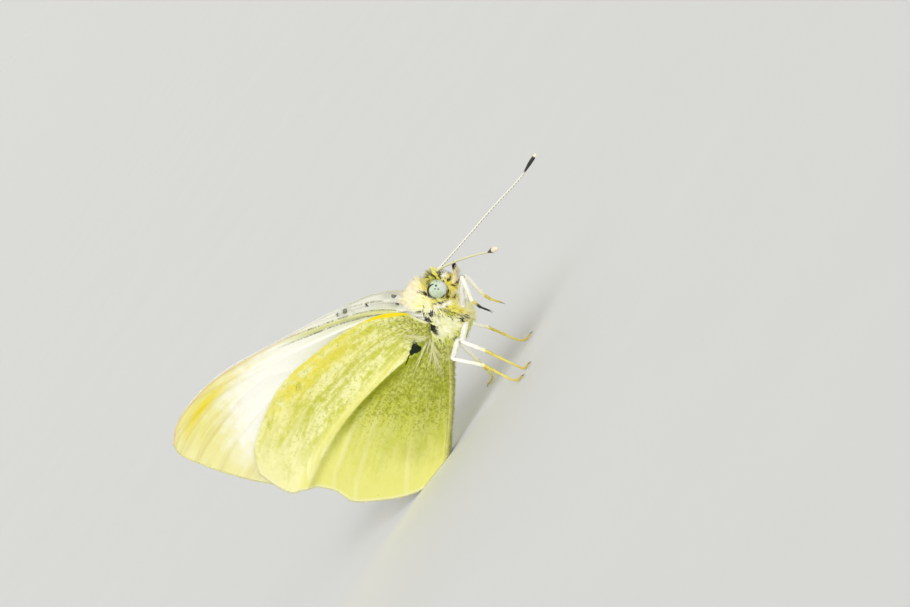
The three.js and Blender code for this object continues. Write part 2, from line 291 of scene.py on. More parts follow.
def grid_faces(rows, columns, close=False):
    """Four-sided faces over a grid of points; close joins the last column to the first."""
    row = np.arange(rows - 1)[:, None] * columns
    column = np.arange(columns if close else columns - 1)[None, :]
    beside = (column + 1) % columns
    corners = (row + column, row + beside, row + columns + beside, row + columns + column)
    return np.stack([corner.ravel() for corner in corners], axis=1)


# %% [markdown]
# ## The outline of a wing
# A wing is a sheet between three smooth edges: the front edge, or costa, the rear edge, and the
# outer margin with its shallow scallops. A patch stretched between the edges gives a grid whose
# lines run from the root to the margin just as the veins do, so veins, streaks and rows of scales
# all follow the wing without any more work.

# %% Curves and the patch between them
FOREWING = {
    "front": [[1, 2.2], [1.1, 4], [0.25, 5.95], [-2, 8.2], [-6.6, 11.95], [-11.4, 15.6],
              [-14.7, 17.15], [-17.6, 17.75], [-19.15, 17.45]],
    "rear": [[-0.2, 1.2], [-5.5, 2], [-12, 3.1], [-16.9, 4.2]],
    "outer": [[-19.15, 17.45], [-19.85, 16.5], [-20, 14.4], [-19.9, 11.8], [-19.45, 8.8],
              [-18.5, 6], [-16.9, 4.2]],
}
HINDWING = {
    "front": [[0.35, 1.5], [0.05, 3.1], [-1, 5], [-3.2, 7.05], [-6.9, 9.25], [-10.3, 10.75],
              [-14.2, 11.15], [-17, 10.85], [-18.7, 9.8]],
    "rear": [[-0.4, -0.2], [-3, -1.5], [-6.5, -2.75], [-10, -3.75], [-12.3, -4.4]],
    "outer": [[-18.7, 9.8], [-19.2, 8.3], [-19.3, 6.8], [-18.6, 5.95], [-17.9, 4.4],
              [-17.85, 2.9], [-18.15, 1.8], [-17.4, 0], [-15.9, -2.3], [-14.3, -3.7],
              [-12.3, -4.4]],
}


def curve_at(points, share):
    """Places on a smooth curve through the points; share runs from 0 at the first to 1."""
    points = np.asarray(points, float)
    ends = 2 * points[[0, -1]] - points[[1, -2]]
    padded = np.vstack((ends[:1], points, ends[1:]))
    steps = np.clip(np.atleast_1d(share), 0, 1) * (len(points) - 1)
    first = np.minimum(steps.astype(int), len(points) - 2)
    w = (steps - first)[:, None]
    a, b, c, d = (padded[first + k] for k in range(4))
    ab, bc, cd = (
        np.sqrt(np.linalg.norm(q - p, axis=1, keepdims=True)) for p, q in ((a, b), (b, c), (c, d))
    )
    leave = ((b - a) / ab - (c - a) / (ab + bc) + (c - b) / bc) * bc
    arrive = ((c - b) / bc - (d - b) / (bc + cd) + (d - c) / cd) * bc
    bend = w**2 * (3 * (c - b) - 2 * leave - arrive) + w**3 * (2 * (b - c) + leave + arrive)
    return b + w * leave + bend


def patch(outline, u, v):
    """Flat places (x, z) at u, from 0 at the front edge to 1 at the rear edge, and v, from 0 at
    the root to 1 at the outer margin. u and v are arrays of one length."""
    front, rear = curve_at(outline["front"], v), curve_at(outline["rear"], v)
    outer = curve_at(outline["outer"], u)
    corners = [np.asarray(outline[edge][-1], float) for edge in ("front", "rear")]
    u, v = u[:, None], v[:, None]
    margin = corners[0] + u * (corners[1] - corners[0])
    return front + u * (rear - front) + v * (outer - margin)


def shortest(places, line):
    """The distance from each place to a line through points."""
    nearest = np.full(len(places), np.inf)
    for start, end in zip(line[:-1], line[1:]):
        along = end - start
        share = np.clip((places - start) @ along / max(along @ along, 1e-12), 0, 1)
        gap = np.linalg.norm(places - start - share[:, None] * along, axis=1)
        nearest = np.minimum(nearest, gap)
    return nearest


print("forewing tip, mm:", patch(FOREWING, np.array([0.0]), np.array([1.0]))[0])

# %% [markdown]
# ## How the wings lie
# At rest the four wings are shut over the back like the pages of a book: forewings inside,
# hindwings outside. Each leaves the side of the chest at its hinge, swells round the chest and the
# belly, and then lies almost flat. A soft maximum of those three distances gives one smooth sheet
# without a crease where one rule hands over to the next.

# %% Distance of a wing from the middle plane
CHEST_STATIONS = [  # x, middle height, half width, half height
    [3.1, 1.2, 0, 0], [2.6, 1.25, 1.2, 1.85], [2, 0.95, 1.6, 2.6], [1, 0.8, 1.92, 2.98],
    [0, 0.68, 1.95, 2.9], [-1, 0.55, 1.75, 2.5], [-2, 0.35, 1.25, 1.8], [-2.6, 0.25, 0, 0],
]
CHEST_COAT = 0.34
WING_PAGE = 0.34  # from the middle of a forewing to the middle of its hindwing
HINGE = (0.6, 1.6)


def smooth(values, low, high):
    share = np.clip((values - low) / (high - low), 0, 1)
    return share * share * (3 - 2 * share)


def soft_most(first, second, sharpness=6):
    return (np.abs(first) ** sharpness + np.abs(second) ** sharpness) ** (1 / sharpness)


def flank(x, z):
    """Half the width of the chest, skin only, at a place seen from the side."""
    rows = curve_at(CHEST_STATIONS, np.linspace(1, 0, 240))
    middle, wide, high = (np.interp(x, rows[:, 0], rows[:, k]) for k in (1, 2, 3))
    share = np.clip(1 - ((z - middle) / np.maximum(high - CHEST_COAT, 0.01)) ** 2, 0, 1)
    return np.maximum(wide - CHEST_COAT, 0) * np.sqrt(share)


def hinge_spread(x, z):
    return 0.62 * np.exp(-((x - HINGE[0]) ** 2 + (z - HINGE[1]) ** 2) / 2.6**2)


def forewing_lie(x, z):
    tip = 0.1 * smooth(-x, 14, 20)
    return soft_most(0.28 + hinge_spread(x, z) + tip, flank(x, z) + 0.03)


def fold_side(x, z):
    """How far a place is on the back side (above 0) or belly side of the hindwing's fold."""
    back = -x
    return z - 1.75 - 0.3974 * (back - 3.75) + 0.0184 * (back - 3.75) * (back - 11.3)


def hindwing_lie(x, z):
    bell = np.exp(-(((z - 0.35 - 0.1 * x) / 1.9) ** 2))
    belly = 0.28 + 0.68 * smooth(x, -13.5, -10.5) * bell
    side = fold_side(x, z)
    grown = smooth(-x, 2, 7)
    ridge = np.exp(-((np.maximum(side, 0) / 1.25) ** 2)) * np.exp(-((np.minimum(side, 0) / 0.42) ** 2))
    step = smooth(side, -0.9, 0.1)
    page = soft_most(0.28 + hinge_spread(x, z), belly)
    page = soft_most(page, (flank(x, z) + 0.03) * smooth(z - 0.35 * x, 0.35, 1.5))
    return page + WING_PAGE + grown * (0.34 * ridge + 0.16 * step - 0.1)


print("hindwing from the middle plane at its hinge:", hindwing_lie(np.array([0.0]), np.array([1.0])))

# %% [markdown]
# ## Veins
# The veins of a white's wing fan out from the hinge, some of them from a closed cell in the middle.
# Each is a short list of (across, along) places on the wing's patch, so it bends with the wing.
# They are raised as real relief, thicker near the hinge, because they catch the light from the
# side; a painted line would look printed.

# %% Vein maps
FOREWING_VEINS = {
    "subcosta": [(0.08, 0), (0.12, 0.14), (0.06, 0.32), (0, 0.43)],
    "radius": [(0.22, 0), (0.29, 0.18), (0.15, 0.35), (0.08, 0.45), (0, 0.62)],
    "cell_front": [(0.34, 0), (0.38, 0.15), (0.26, 0.33), (0.2, 0.45), (0.17, 0.55)],
    "radius_2": [(0.2, 0.45), (0.1, 0.6), (0, 0.76)],
    "radius_3": [(0.17, 0.55), (0.12, 0.72), (0.06, 0.84), (0, 0.93)],
    "radius_4": [(0.12, 0.72), (0.08, 0.88), (0.03, 1)],
    "media_1": [(0.14, 0.64), (0.16, 0.82), (0.14, 1)],
    "media_2": [(0.24, 0.56), (0.29, 0.78), (0.28, 1)],
    "media_3": [(0.4, 0.55), (0.42, 0.78), (0.42, 1)],
    "cubitus_1": [(0.48, 0.47), (0.56, 0.75), (0.57, 1)],
    "cubitus_2": [(0.51, 0.33), (0.68, 0.7), (0.72, 1)],
    "cell_rear": [(0.5, 0), (0.52, 0.2), (0.51, 0.33), (0.48, 0.47), (0.4, 0.55)],
    "cell_end": [(0.17, 0.55), (0.24, 0.56), (0.31, 0.53), (0.4, 0.55)],
    "anal": [(0.75, 0), (0.85, 0.5), (0.92, 1)],
}
HINDWING_VEINS = {
    "humeral": [(0.09, 0.08), (0.03, 0.1), (0, 0.14)],
    "subcosta": [(0.12, 0), (0.08, 0.15), (0.05, 0.35), (0.03, 0.55), (0, 0.7)],
    "radius": [(0.3, 0), (0.28, 0.2), (0.2, 0.4), (0.12, 0.6), (0.06, 0.8), (0.02, 1)],
    "media_1": [(0.2, 0.4), (0.21, 0.5), (0.19, 0.65), (0.14, 0.83), (0.12, 1)],
    "media_2": [(0.33, 0.52), (0.28, 0.74), (0.21, 1)],
    "cell_rear": [(0.56, 0), (0.57, 0.15), (0.535, 0.33), (0.48, 0.5)],
    "media_3": [(0.48, 0.5), (0.44, 0.6), (0.39, 0.73), (0.32, 1)],
    "cubitus_1": [(0.49, 0.46), (0.5, 0.7), (0.46, 1)],
    "cubitus_2": [(0.54, 0.3), (0.62, 0.6), (0.62, 1)],
    "cell_end": [(0.21, 0.5), (0.27, 0.5), (0.33, 0.52), (0.41, 0.5), (0.48, 0.5)],
    "anal_2": [(0.7, 0), (0.76, 0.4), (0.8, 0.75), (0.8, 1)],
    "anal_3": [(0.88, 0), (0.93, 0.35), (1, 0.7)],
}


def vein_gap(outline, veins, flat):
    """The distance in millimetres from each flat place to the nearest vein."""
    nearest = np.full(len(flat), np.inf)
    for route in veins.values():
        u, v = curve_at(route, np.linspace(0, 1, 28)).T
        nearest = np.minimum(nearest, shortest(flat, patch(outline, u, v)))
    return nearest


print("veins:", len(FOREWING_VEINS), "and", len(HINDWING_VEINS))

# %% [markdown]
# ## The sheets
# A real wing is two skins pressed together over the veins, a few hundredths of a millimetre thick.
# Here each is a closed shell of two fine grids and a rim, thicker along the veins, slightly
# pleated between them. The grid is fine enough that the relief is real and shows in any view.

# %% Build a wing sheet
ACROSS, ALONG = 150, 190
SHEET, VEIN_TUBE, VEIN_REACH = 0.06, 0.085, 0.11


def ripple(u, v, phase):
    """Slow unevenness of a dry wing, from -1 to 1."""
    wave = np.sin(9 * u + 4 * v + phase) * np.sin(5 * v - 3 * u + 2 * phase)
    wave = wave + 0.5 * np.sin(23 * u - 6 * v + phase)
    wave = wave + 0.22 * np.sin(41 * u + 3 * np.sin(7 * v + phase))
    return (wave + 0.16 * np.sin(66 * u - 19 * v) * np.sin(31 * v + 9 * u)) / 1.7


def wing_fields(outline, veins, u, v):
    flat = patch(outline, u, v)
    edges = {
        edge: shortest(flat, curve_at(outline[edge], np.linspace(0, 1, 60)))
        for edge in ("front", "outer")
    }
    return flat, vein_gap(outline, veins, flat), edges


def build_sheet(outline, veins, lie, side, phase, near_relief, far_relief):
    """The two reliefs say how much the veins stand out near the hinge and towards the margin."""
    u, v = (grid.ravel() for grid in np.meshgrid(
        np.linspace(0, 1, ACROSS), np.linspace(0, 1, ALONG), indexing="ij"))
    flat, gap, edges = wing_fields(outline, veins, u, v)
    x, z = flat.T
    strength = near_relief - (near_relief - far_relief) * smooth(v, 0.05, 0.55)
    tube = np.exp(-((gap / VEIN_REACH) ** 2)) * strength
    pleat = np.exp(-((gap / 0.45) ** 2)) * strength
    middle = lie(x, z) + 0.06 * pleat + 0.04 * ripple(u, v, phase)
    skins, inside = [], []
    for face in (1, -1):
        away = middle + face * (SHEET / 2 + VEIN_TUBE * tube * (1 if face > 0 else 0.3))
        skins.append(from_body(np.column_stack((x, side * away, z))))
        inside.append(np.full(len(x), float(face < 0)))
    points = np.vstack(skins)
    points[:, 2] = np.maximum(points[:, 2], 0.02 * MM)
    outer_faces = grid_faces(ACROSS, ALONG)
    faces = np.vstack((outer_faces, outer_faces[:, ::-1] + len(x), rim_faces(len(x))))
    stored = {
        "plan": np.column_stack((np.tile(x, 2), np.tile(z, 2), np.concatenate(inside))),
        "spread": np.column_stack([np.tile(k, 2) for k in (u, v, edges["outer"])]),
        "lines": np.column_stack([np.tile(k, 2) for k in (gap, fold_side(x, z), edges["front"])]),
    }
    return points, faces if side > 0 else faces[:, ::-1], stored


def rim_faces(count):
    """Joins the edge of the outer grid to the edge of the inner one."""
    grid = np.arange(count).reshape(ACROSS, ALONG)
    loop = np.concatenate((grid[0, :-1], grid[:-1, -1], grid[-1, :0:-1], grid[:0:-1, 0]))
    following = np.roll(loop, -1)
    return np.column_stack((following, loop, loop + count, following + count))


print("points on each face of a sheet:", ACROSS * ALONG)

# %% [markdown]
# ## The yellow underside of the hindwing
# The scales of this side are a pale yellow-green, dusted with grey ones that crowd near the hinge
# and behind the fold. The dust is fine noise cut off at a level that depends on the place, and the
# streaks are noise drawn out along the wing. Near the front edge the yellow is warmest and the
# shoulder vein is a bright yellow line. The fold's light and shade are painted as well: a cream
# highlight on its crest, dark olive shade behind it, a black shadow where it starts as a deep
# crease near the hinge, and green reflected light along the margin behind it.

# %% Shared parts of the wing finishes
def wing_readings(finish):
    """What the sheets store on their points."""
    plan, spread, lines = (finish.reading(name, "Vector") for name in ("plan", "spread", "lines"))
    at = SimpleNamespace(spread=spread, flat=finish.stretched(plan, (1.0, 1.0, 0.0)))
    at.x, at.z, at.inside = plan.parts()
    at.u, at.v, at.margin = spread.parts()
    at.vein, at.fold, at.front = lines.parts()
    return at


def drawn_noise(finish, at, across, along, detail=3.0, roughness=0.55):
    """Noise that runs with the veins, drawn out along the wing if across is the larger."""
    return finish.noise(finish.stretched(at.spread, (across, along, 0.0)), 1.0, detail, roughness)


def wing_scales(finish, at):
    """Relief of the overlapping scales: rows across the wing, broken by a fine grain."""
    rows, grain = drawn_noise(finish, at, 60.0, 260.0, 2.0, 0.5), finish.noise(at.flat, 14.0, 3.0, 0.6)
    return rows * 0.5 + grain * 0.5


def spot(at, x, z, reach, tall=1.0):
    """A round mark, 1 in its middle, at a flat place on the wing."""
    wide = (at.x - x) / reach
    high = (at.z - z) / (reach * tall)
    return (wide * wide + high * high).rise(1.0, 0.25)


print("readings of a wing: place, share, vein, fold")

# %% Hindwing finish
def yellow_ground(finish, at, coarse, streak):
    """The hindwing's mottled yellow: greener near the hinge and behind the fold, paler outside,
    with painted green reflected light along the margin behind the fold.
    """
    behind = at.fold.rise(0.1, -0.3)
    patchy = drawn_noise(finish, at, 15.0, 7.0, 4.0, 0.68)
    crumbs = finish.noise(at.flat, 2.6, 4.0, 0.7)
    colour = finish.mix(patchy.rise(0.42, 0.58), paint(244, 242, 172), paint(210, 211, 92))
    colour = finish.mix(crumbs.rise(0.48, 0.64) * 0.6, colour, paint(188, 192, 40))
    colour = finish.mix(crumbs.rise(0.46, 0.34) * 0.5, colour, paint(248, 244, 190))
    warm = at.v.near(0.56, 0.34) * at.front.rise(3.4, 0.4)
    warm = warm * (coarse * 0.6 + patchy * 0.5).rise(0.42, 0.6)
    colour = finish.mix(warm * 0.85, colour, paint(243, 228, 84))
    pale = (at.v + coarse * 0.3 + streak * 0.3).rise(0.9, 1.3)
    colour = finish.mix(pale * 0.9, colour, paint(252, 247, 178))
    outward = (at.v + streak * 0.4).rise(0.6, 1.1)
    greener = finish.mix(outward, paint(186, 192, 66), paint(232, 230, 116))
    colour = finish.mix(behind * at.v.rise(0.16, 0.3) * 0.75, colour, greener)
    hinge = (at.v + coarse * 0.1).rise(0.36, 0.1)
    colour = finish.mix(hinge * 0.75, colour, paint(200, 201, 92))
    # Painted green reflected light along the margin behind the fold.
    rim = at.margin.rise(0.75, 0.35) * at.margin.rise(0.05, 0.2)
    rim = behind * rim * (at.v + coarse * 0.3).rise(0.85, 0.45)
    return finish.mix(rim * 0.8, colour, paint(186, 200, 8))


def painted_fold_light(finish, at, coarse, streak, colour):
    """Painted light on the fold: a cream highlight on its crest and a dark olive shade in the
    valley behind it.
    """
    place = at.fold + (coarse + streak - 1.0) * 0.5
    # Painted shade: dark olive in the valley behind the crest.
    valley = place.rise(-1.15, -0.2) * at.fold.rise(0.05, -0.1)
    valley = valley * at.v.rise(0.2, 0.3) * (at.v - coarse * 0.2).rise(0.7, 0.42)
    colour = finish.mix(valley * 0.9, colour, paint(158, 164, 0))
    # Painted highlight: cream on the crest of the fold.
    crest = place.rise(1.1, 0.35) * at.fold.rise(-0.08, 0.1) * at.v.rise(0.24, 0.42)
    cream = finish.mix(streak.rise(0.4, 0.6), paint(255, 250, 190), paint(240, 236, 132))
    return finish.mix(crest * 0.8, colour, cream)


def grey_dust(finish, at, fine, coarse, streak, colour):
    """Dark scales: crowded near the hinge and in the middle of the rear part, few elsewhere."""
    behind = at.fold.rise(0.1, -0.3)
    middle = behind * at.v.near(0.42, 0.3)
    crowd = at.v.rise(0.5, 0.06) * 0.12 + middle * coarse * 0.26 - at.v.rise(0.6, 0.9) * 0.1
    crowd = crowd + streak.rise(0.5, 0.75) * 0.05
    soft = finish.noise(at.flat, 3.6, 3.0, 0.7)
    dusk = (soft * 0.7 + coarse * 0.5).rise(0.58, 0.74) * middle
    colour = finish.mix(dusk * 0.6, colour, paint(150, 156, 30))
    dust = ((fine + soft) * 0.5 + crowd).rise(0.57, 0.68)
    dark = finish.mix(at.v.rise(0.4, 0.2), paint(140, 146, 40), paint(96, 104, 10))
    colour = finish.mix(dust * 0.6, colour, dark)
    net = finish.cells(at.flat, 3.0, "DISTANCE_TO_EDGE")
    web = (net + fine * 0.2).rise(0.17, 0.09) * at.v.rise(0.3, 0.12) * soft.rise(0.4, 0.6)
    colour = finish.mix(web * 0.6, colour, paint(92, 100, 24))
    light = (net - fine * 0.1).rise(0.05, 0.16) * at.v.rise(0.36, 0.12) * soft.rise(0.6, 0.4)
    return finish.mix(light * 0.35, colour, paint(236, 232, 160))


def hindwing_marks_and_crease_shadow(finish, at, fine, coarse, colour):
    """The shoulder line, a painted black shadow where the fold starts as a deep crease near the
    hinge, and the faint spot at the cell's end.
    """
    root = at.front.rise(0.3, 0.1) * at.v.rise(0.16, 0.1)
    colour = finish.mix(root * 0.8, colour, paint(246, 242, 190))
    wide = at.v.near(0.23, 0.13) * 0.24 + 0.06
    shoulder = ((at.front - fine * 0.1) / wide).rise(1.15, 0.75)
    shoulder = shoulder * (at.v + fine * 0.05).rise(0.37, 0.33) * at.v.rise(0.1, 0.14)
    colour = finish.mix(shoulder, colour, paint(250, 224, 22))
    halo = spot(at, -2.3, 1.2, 1.3, 0.8) * coarse.rise(0.3, 0.5)
    colour = finish.mix(halo * 0.75, colour, paint(150, 168, 34))
    # Painted shadow: black in the deep crease where the fold starts, with a tail along it.
    mark = spot(at, -2.68, 1.5, 0.55, 0.8).most(spot(at, -2.28, 1.7, 0.34, 0.7))
    mark = mark.most(spot(at, -3.1, 1.66, 0.4, 0.6)).most(spot(at, -2.55, 1.22, 0.34, 0.7))
    tail = spot(at, -3.85, 1.76, 0.75, 0.09) * 0.75
    torn = finish.noise(at.flat, 16.0, 3.0, 0.7)
    mark = (mark.most(tail) + fine * 1.6 + torn * 1.2 - 1.4).rise(0.35, 0.5)
    colour = finish.mix(mark * 0.98, colour, paint(8, 22, 16))
    faint = spot(at, -9.86, 9.35, 0.5, 0.6) * (fine + coarse * 0.5).rise(0.62, 0.9)
    return finish.mix(faint * 0.7, colour, paint(150, 150, 52))


def make_hindwing_finish():
    finish = Finish("hindwing_scales")
    at = wing_readings(finish)
    fine, coarse = finish.noise(at.flat, 7.0, 3.0, 0.7), finish.noise(at.flat, 0.9, 3.0, 0.6)
    streak = drawn_noise(finish, at, 22.0, 2.4)
    colour = yellow_ground(finish, at, coarse, streak)
    veins = at.vein.rise(0.3, 0.08) * (at.v * streak).rise(0.2, 0.45)
    colour = finish.mix(veins * 0.4, colour, paint(248, 243, 182))
    colour = painted_fold_light(finish, at, coarse, streak, colour)
    colour = grey_dust(finish, at, fine, coarse, streak, colour)
    colour = hindwing_marks_and_crease_shadow(finish, at, fine, coarse, colour)
    colour = finish.mix(at.margin.rise(0.3, 0.06) * 0.6, colour, paint(250, 246, 200))
    colour = finish.mix(at.inside, colour, inner_white(finish, at, fine))
    return finish.shade(colour, 0.62, Specular_IOR_Level=0.15,
                        Normal=finish.bump(wing_scales(finish, at), 0.04))


def inner_white(finish, at, fine):
    """The upper side of the wings, which faces inwards at rest: white, with a grey-black tip."""
    root = at.v.rise(0.22, 0.02) * 0.5
    dust = (fine + root * 0.4).rise(0.62, 0.8)
    return finish.mix(dust, paint(246, 246, 238), paint(110, 108, 96))


hindwing_finish = make_hindwing_finish()
print("hindwing finish:", len(hindwing_finish.node_tree.nodes), "nodes")

# %% [markdown]
# ## The forewing
# Most of what shows is white. The tip takes a pale butter yellow with a warmer streak under the
# front edge, and near the hinge the front edge is grey with two clusters of black scales. Between
# and beside the thick veins there, olive is painted as the shade of the raised veins.

# %% Forewing finish
def white_and_butter(finish, at, coarse, streak):
    """White in the middle; butter yellow at the tip, warmest in a streak under the front edge."""
    tip = (at.v + coarse * 0.2 + streak * 0.1 - at.u * 0.6).rise(0.6, 0.84)
    colour = finish.mix(tip, paint(255, 254, 240), paint(239, 231, 138))
    low = (at.v + coarse * 0.2).rise(0.85, 1.1) * 0.5
    colour = finish.mix(low, colour, paint(250, 246, 196))
    colour = finish.mix(tip * streak.rise(0.46, 0.66) * 0.5, colour, paint(228, 216, 136))
    colour = finish.mix(tip * at.vein.rise(0.35, 0.08) * 0.3, colour, paint(222, 208, 142))
    glow = (at.front - at.v * 0.9).near(0.3, 0.6) * (at.v + streak * 0.1).near(0.8, 0.18)
    colour = finish.mix(glow, colour, paint(238, 218, 62))
    gleam = coarse.rise(0.4, 0.7) * at.v.near(0.5, 0.25) * at.u.near(0.45, 0.35)
    return finish.mix(gleam * 0.5, colour, paint(246, 250, 250))


def grey_shoulder(finish, at, fine, coarse, colour):
    """The grey front edge near the hinge, painted olive shade between and along its raised
    veins, and its black scales.
    """
    near_hinge = at.v.rise(0.56, 0.3)
    # Painted shade: olive between the raised veins near the hinge.
    between = at.vein.rise(0.06, 0.3) * near_hinge * at.u.rise(0.5, 0.36)
    colour = finish.mix(between * at.front.rise(0.7, 1.3) * 0.5, colour, paint(212, 214, 138))
    colour = finish.mix(at.front.rise(1.6, 0.8) * near_hinge * 0.75, colour, paint(226, 225, 208))
    # Painted shade along a raised vein near the hinge: an olive band with darker edges.
    beside = at.u + at.v * 0.8 - 0.43
    along = at.v.rise(0.1, 0.2) * at.v.rise(0.54, 0.44)
    band = (beside + fine * 0.02 - 0.01).near(0.0, 0.05) * along
    colour = finish.mix(band * 0.85, colour, paint(206, 208, 112))
    edges = abs(beside).near(0.032, 0.016) * along * (fine + coarse * 0.5).rise(0.6, 0.86)
    colour = finish.mix(edges * 0.9, colour, paint(96, 104, 30))
    # Painted shade: a dark line along the raised vein nearest the front edge.
    upper = (at.u + at.v * 0.5 - 0.2).near(0.0, 0.02) * at.v.near(0.26, 0.16)
    upper = upper * (fine + coarse * 0.5).rise(0.62, 0.85)
    colour = finish.mix(upper * 0.8, colour, paint(110, 112, 56))
    specks = spot(at, 0.86, 4.72, 0.34, 0.8).most(spot(at, 1.05, 5.1, 0.3, 0.7))
    specks = specks.most(spot(at, -2.1, 7.98, 0.34, 0.7)).most(spot(at, 0.3, 4.2, 0.22) * 0.8)
    for x, z, reach, tall in ((-2.65, 8.45, 0.26, 0.7), (-0.9, 6.5, 0.22, 1.0), (0.95, 5.5, 0.2, 1.0)):
        specks = specks.most(spot(at, x, z, reach, tall) * 0.6)
    colour = finish.mix((specks + fine * 2.2 - 1.25).rise(0.3, 0.5), colour, paint(22, 24, 18))
    haze = spot(at, 0.6, 4.7, 1.1, 1.2).most(spot(at, -2.2, 8.0, 1.0, 1.0)) * coarse.rise(0.3, 0.6)
    colour = finish.mix(haze * 0.5, colour, paint(176, 178, 160))
    dust = (fine + near_hinge * 0.05).rise(0.66, 0.76) * at.v.rise(0.66, 0.3)
    return finish.mix(dust * 0.6, colour, paint(150, 152, 112))


def make_forewing_finish():
    finish = Finish("forewing_scales")
    at = wing_readings(finish)
    fine, coarse = finish.noise(at.flat, 7.0, 3.0, 0.7), finish.noise(at.flat, 1.1, 3.0, 0.6)
    streak = drawn_noise(finish, at, 24.0, 3.0)
    colour = white_and_butter(finish, at, coarse, streak)
    colour = grey_shoulder(finish, at, fine, coarse, colour)
    edge = at.front.rise(0.26, 0.08) * at.v.rise(0.35, 0.6)
    colour = finish.mix(edge * 0.75, colour, paint(228, 202, 150))
    inner = inner_white(finish, at, fine)
    black_tip = (at.v - at.u * 0.5 + fine * 0.1).rise(0.86, 0.94)
    inner = finish.mix(black_tip, inner, paint(64, 62, 56))
    colour = finish.mix(at.inside, colour, inner)
    return finish.shade(colour, 0.62, Specular_IOR_Level=0.15,
                        Normal=finish.bump(wing_scales(finish, at), 0.035))


forewing_finish = make_forewing_finish()
print("forewing finish:", len(forewing_finish.node_tree.nodes), "nodes")

# %% Add the four wings
WINGS = {  # outline, veins, lie, how much the veins stand out near the hinge and further out
    "forewing": (FOREWING, FOREWING_VEINS, forewing_lie, (1.3, 0.3), forewing_finish),
    "hindwing": (HINDWING, HINDWING_VEINS, hindwing_lie, (0.45, 0.28), hindwing_finish),
}


def add_wings():
    for name, side in SIDES.items():
        for pair, (outline, veins, lie, relief, finish) in WINGS.items():
            points, faces, stored = build_sheet(outline, veins, lie, side, 1.3 + side, *relief)
            node = f"{pair}_{name}"
            add_piece(f"sheet_{node}", points, faces, finish, [node], stored)
            print(f"sheet_{node}:", len(faces), "faces")


add_wings()

# %% [markdown]
# ## One skin for head, chest and belly
# Under its coat a butterfly is one leathery body. Three separate solids would show a seam, so
# copies of them are swollen until they touch, remeshed into one closed skin, smoothed, and then
# drawn in by the depth of the coat. The hairs added later bring the outline back to its size.

# %% Where the coat is deep
HEAD_RADII = np.array([1.4, 1.0, 1.3])
EYE_RADII = np.array([0.8, 0.68, 0.8])
COAT = {"head": 0.2, "chest": 0.34, "belly": 0.12}


def regions(points):
    """How much each place, in body axes, belongs to head, belly, back, breast and flank."""
    x, _, z = points.T
    away = np.linalg.norm(body_to_head(points) / HEAD_RADII, axis=1)
    head = smooth(1.32 - away, 0, 0.2)
    belly = smooth(-x, 1.9, 2.6) * (1 - head)
    chest = 1 - head - belly
    back = chest * smooth(z - 0.12 * x, 1.75, 2.5)
    breast = (chest - back) * smooth(x + 0.15 * np.maximum(-z, 0), 1.5, 1.75)
    return SimpleNamespace(head=head, belly=belly, back=back, breast=breast,
                           flank=chest - back - breast)


def coat_depth(points):
    share = regions(points)
    chest = share.back + share.breast + share.flank
    return COAT["head"] * share.head + COAT["belly"] * share.belly + COAT["chest"] * chest


print("depth of the wool on the back, mm:", coat_depth(np.array([[0.0, 0.0, 3.0]]))[0])

# %% Join the solids into a skin
SWELL, SKIN_GRAIN = 0.07, 0.085


def mesh_arrays(mesh):
    """Points, normals and triangles of a mesh as arrays."""
    mesh.calc_loop_triangles()
    place, outward = (np.empty(len(mesh.vertices) * 3, np.float32) for _ in range(2))
    corners = np.empty(len(mesh.loop_triangles) * 3, np.int32)
    mesh.vertices.foreach_get("co", place)
    mesh.vertex_normals.foreach_get("vector", outward)
    mesh.loop_triangles.foreach_get("vertices", corners)
    return place.reshape(-1, 3), outward.reshape(-1, 3), corners.reshape(-1, 3)


def solids_in_mm(names):
    """Points and triangles of some solids together, in millimetres, swollen a little."""
    points, faces, start = [], [], 0
    for name in names:
        place, outward, corners = mesh_arrays(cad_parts[name].data)
        points.append(place / MM + SWELL * outward)
        faces.append(corners + start)
        start += len(place)
    return np.vstack(points), np.vstack(faces)


def remeshed(points, faces, grain, rounds):
    """The outside of overlapping closed shapes as one smooth mesh: points, normals, triangles."""
    mesh = bpy.data.meshes.new("rough")
    mesh.from_pydata(points.tolist(), [], faces.tolist())
    rough = bpy.data.objects.new("rough", mesh)
    bpy.context.scene.collection.objects.link(rough)
    remesh = rough.modifiers.new("remesh", "REMESH")
    remesh.mode, remesh.voxel_size = "VOXEL", grain
    even = rough.modifiers.new("smooth", "SMOOTH")
    even.factor, even.iterations = 0.5, rounds
    made = rough.evaluated_get(bpy.context.evaluated_depsgraph_get()).to_mesh()
    place, outward, corners = mesh_arrays(made)
    bpy.data.objects.remove(rough)
    return place.astype(float), outward, corners


def make_skin():
    points, outward, faces = remeshed(*solids_in_mm(["head", "thorax", "abdomen"]), SKIN_GRAIN, 14)
    depth = coat_depth(to_body(points * MM)) + SWELL
    return (points - depth[:, None] * outward) * MM, outward, faces


SKIN_POINTS, SKIN_NORMALS, SKIN_FACES = make_skin()
print("skin:", len(SKIN_POINTS), "points,", len(SKIN_FACES), "triangles")

# %% [markdown]
# ## Markings that skin and coat share
# Colour belongs to a place on the animal, not to a piece, so one function gives the markings of
# any place and both the skin and every hair ask it. There are six: yellow on the breast and round
# the eyes, olive low on the chest, a pale flank, black marks and specks, a warm rose tint on the
# collar, and white on the face and in a stripe under the eye. Some of the black and olive is painted
# shade: along thin partings of the coat and in the groove between head and collar. Each side has
# its own seeded specks, as no animal is an exact mirror.

# %% Markings of a place
def blob(points, x, z, reach, tall=1.0):
    return np.exp(-(((points[:, 0] - x) / reach) ** 2) - ((points[:, 2] - z) / (reach * tall)) ** 2)


def seeded_specks(points, seed, count, low, high, reach):
    """Small round specks at random places of a box, the same on every run."""
    rng = np.random.default_rng(seed)
    value = np.zeros(len(points))
    for place, size in zip(rng.uniform(low, high, (count, 3)), rng.uniform(0.6, 1.3, count)):
        gap = np.sum((points - place) ** 2, axis=1)
        value = np.maximum(value, np.exp(-gap / (reach * size) ** 2))
    return value


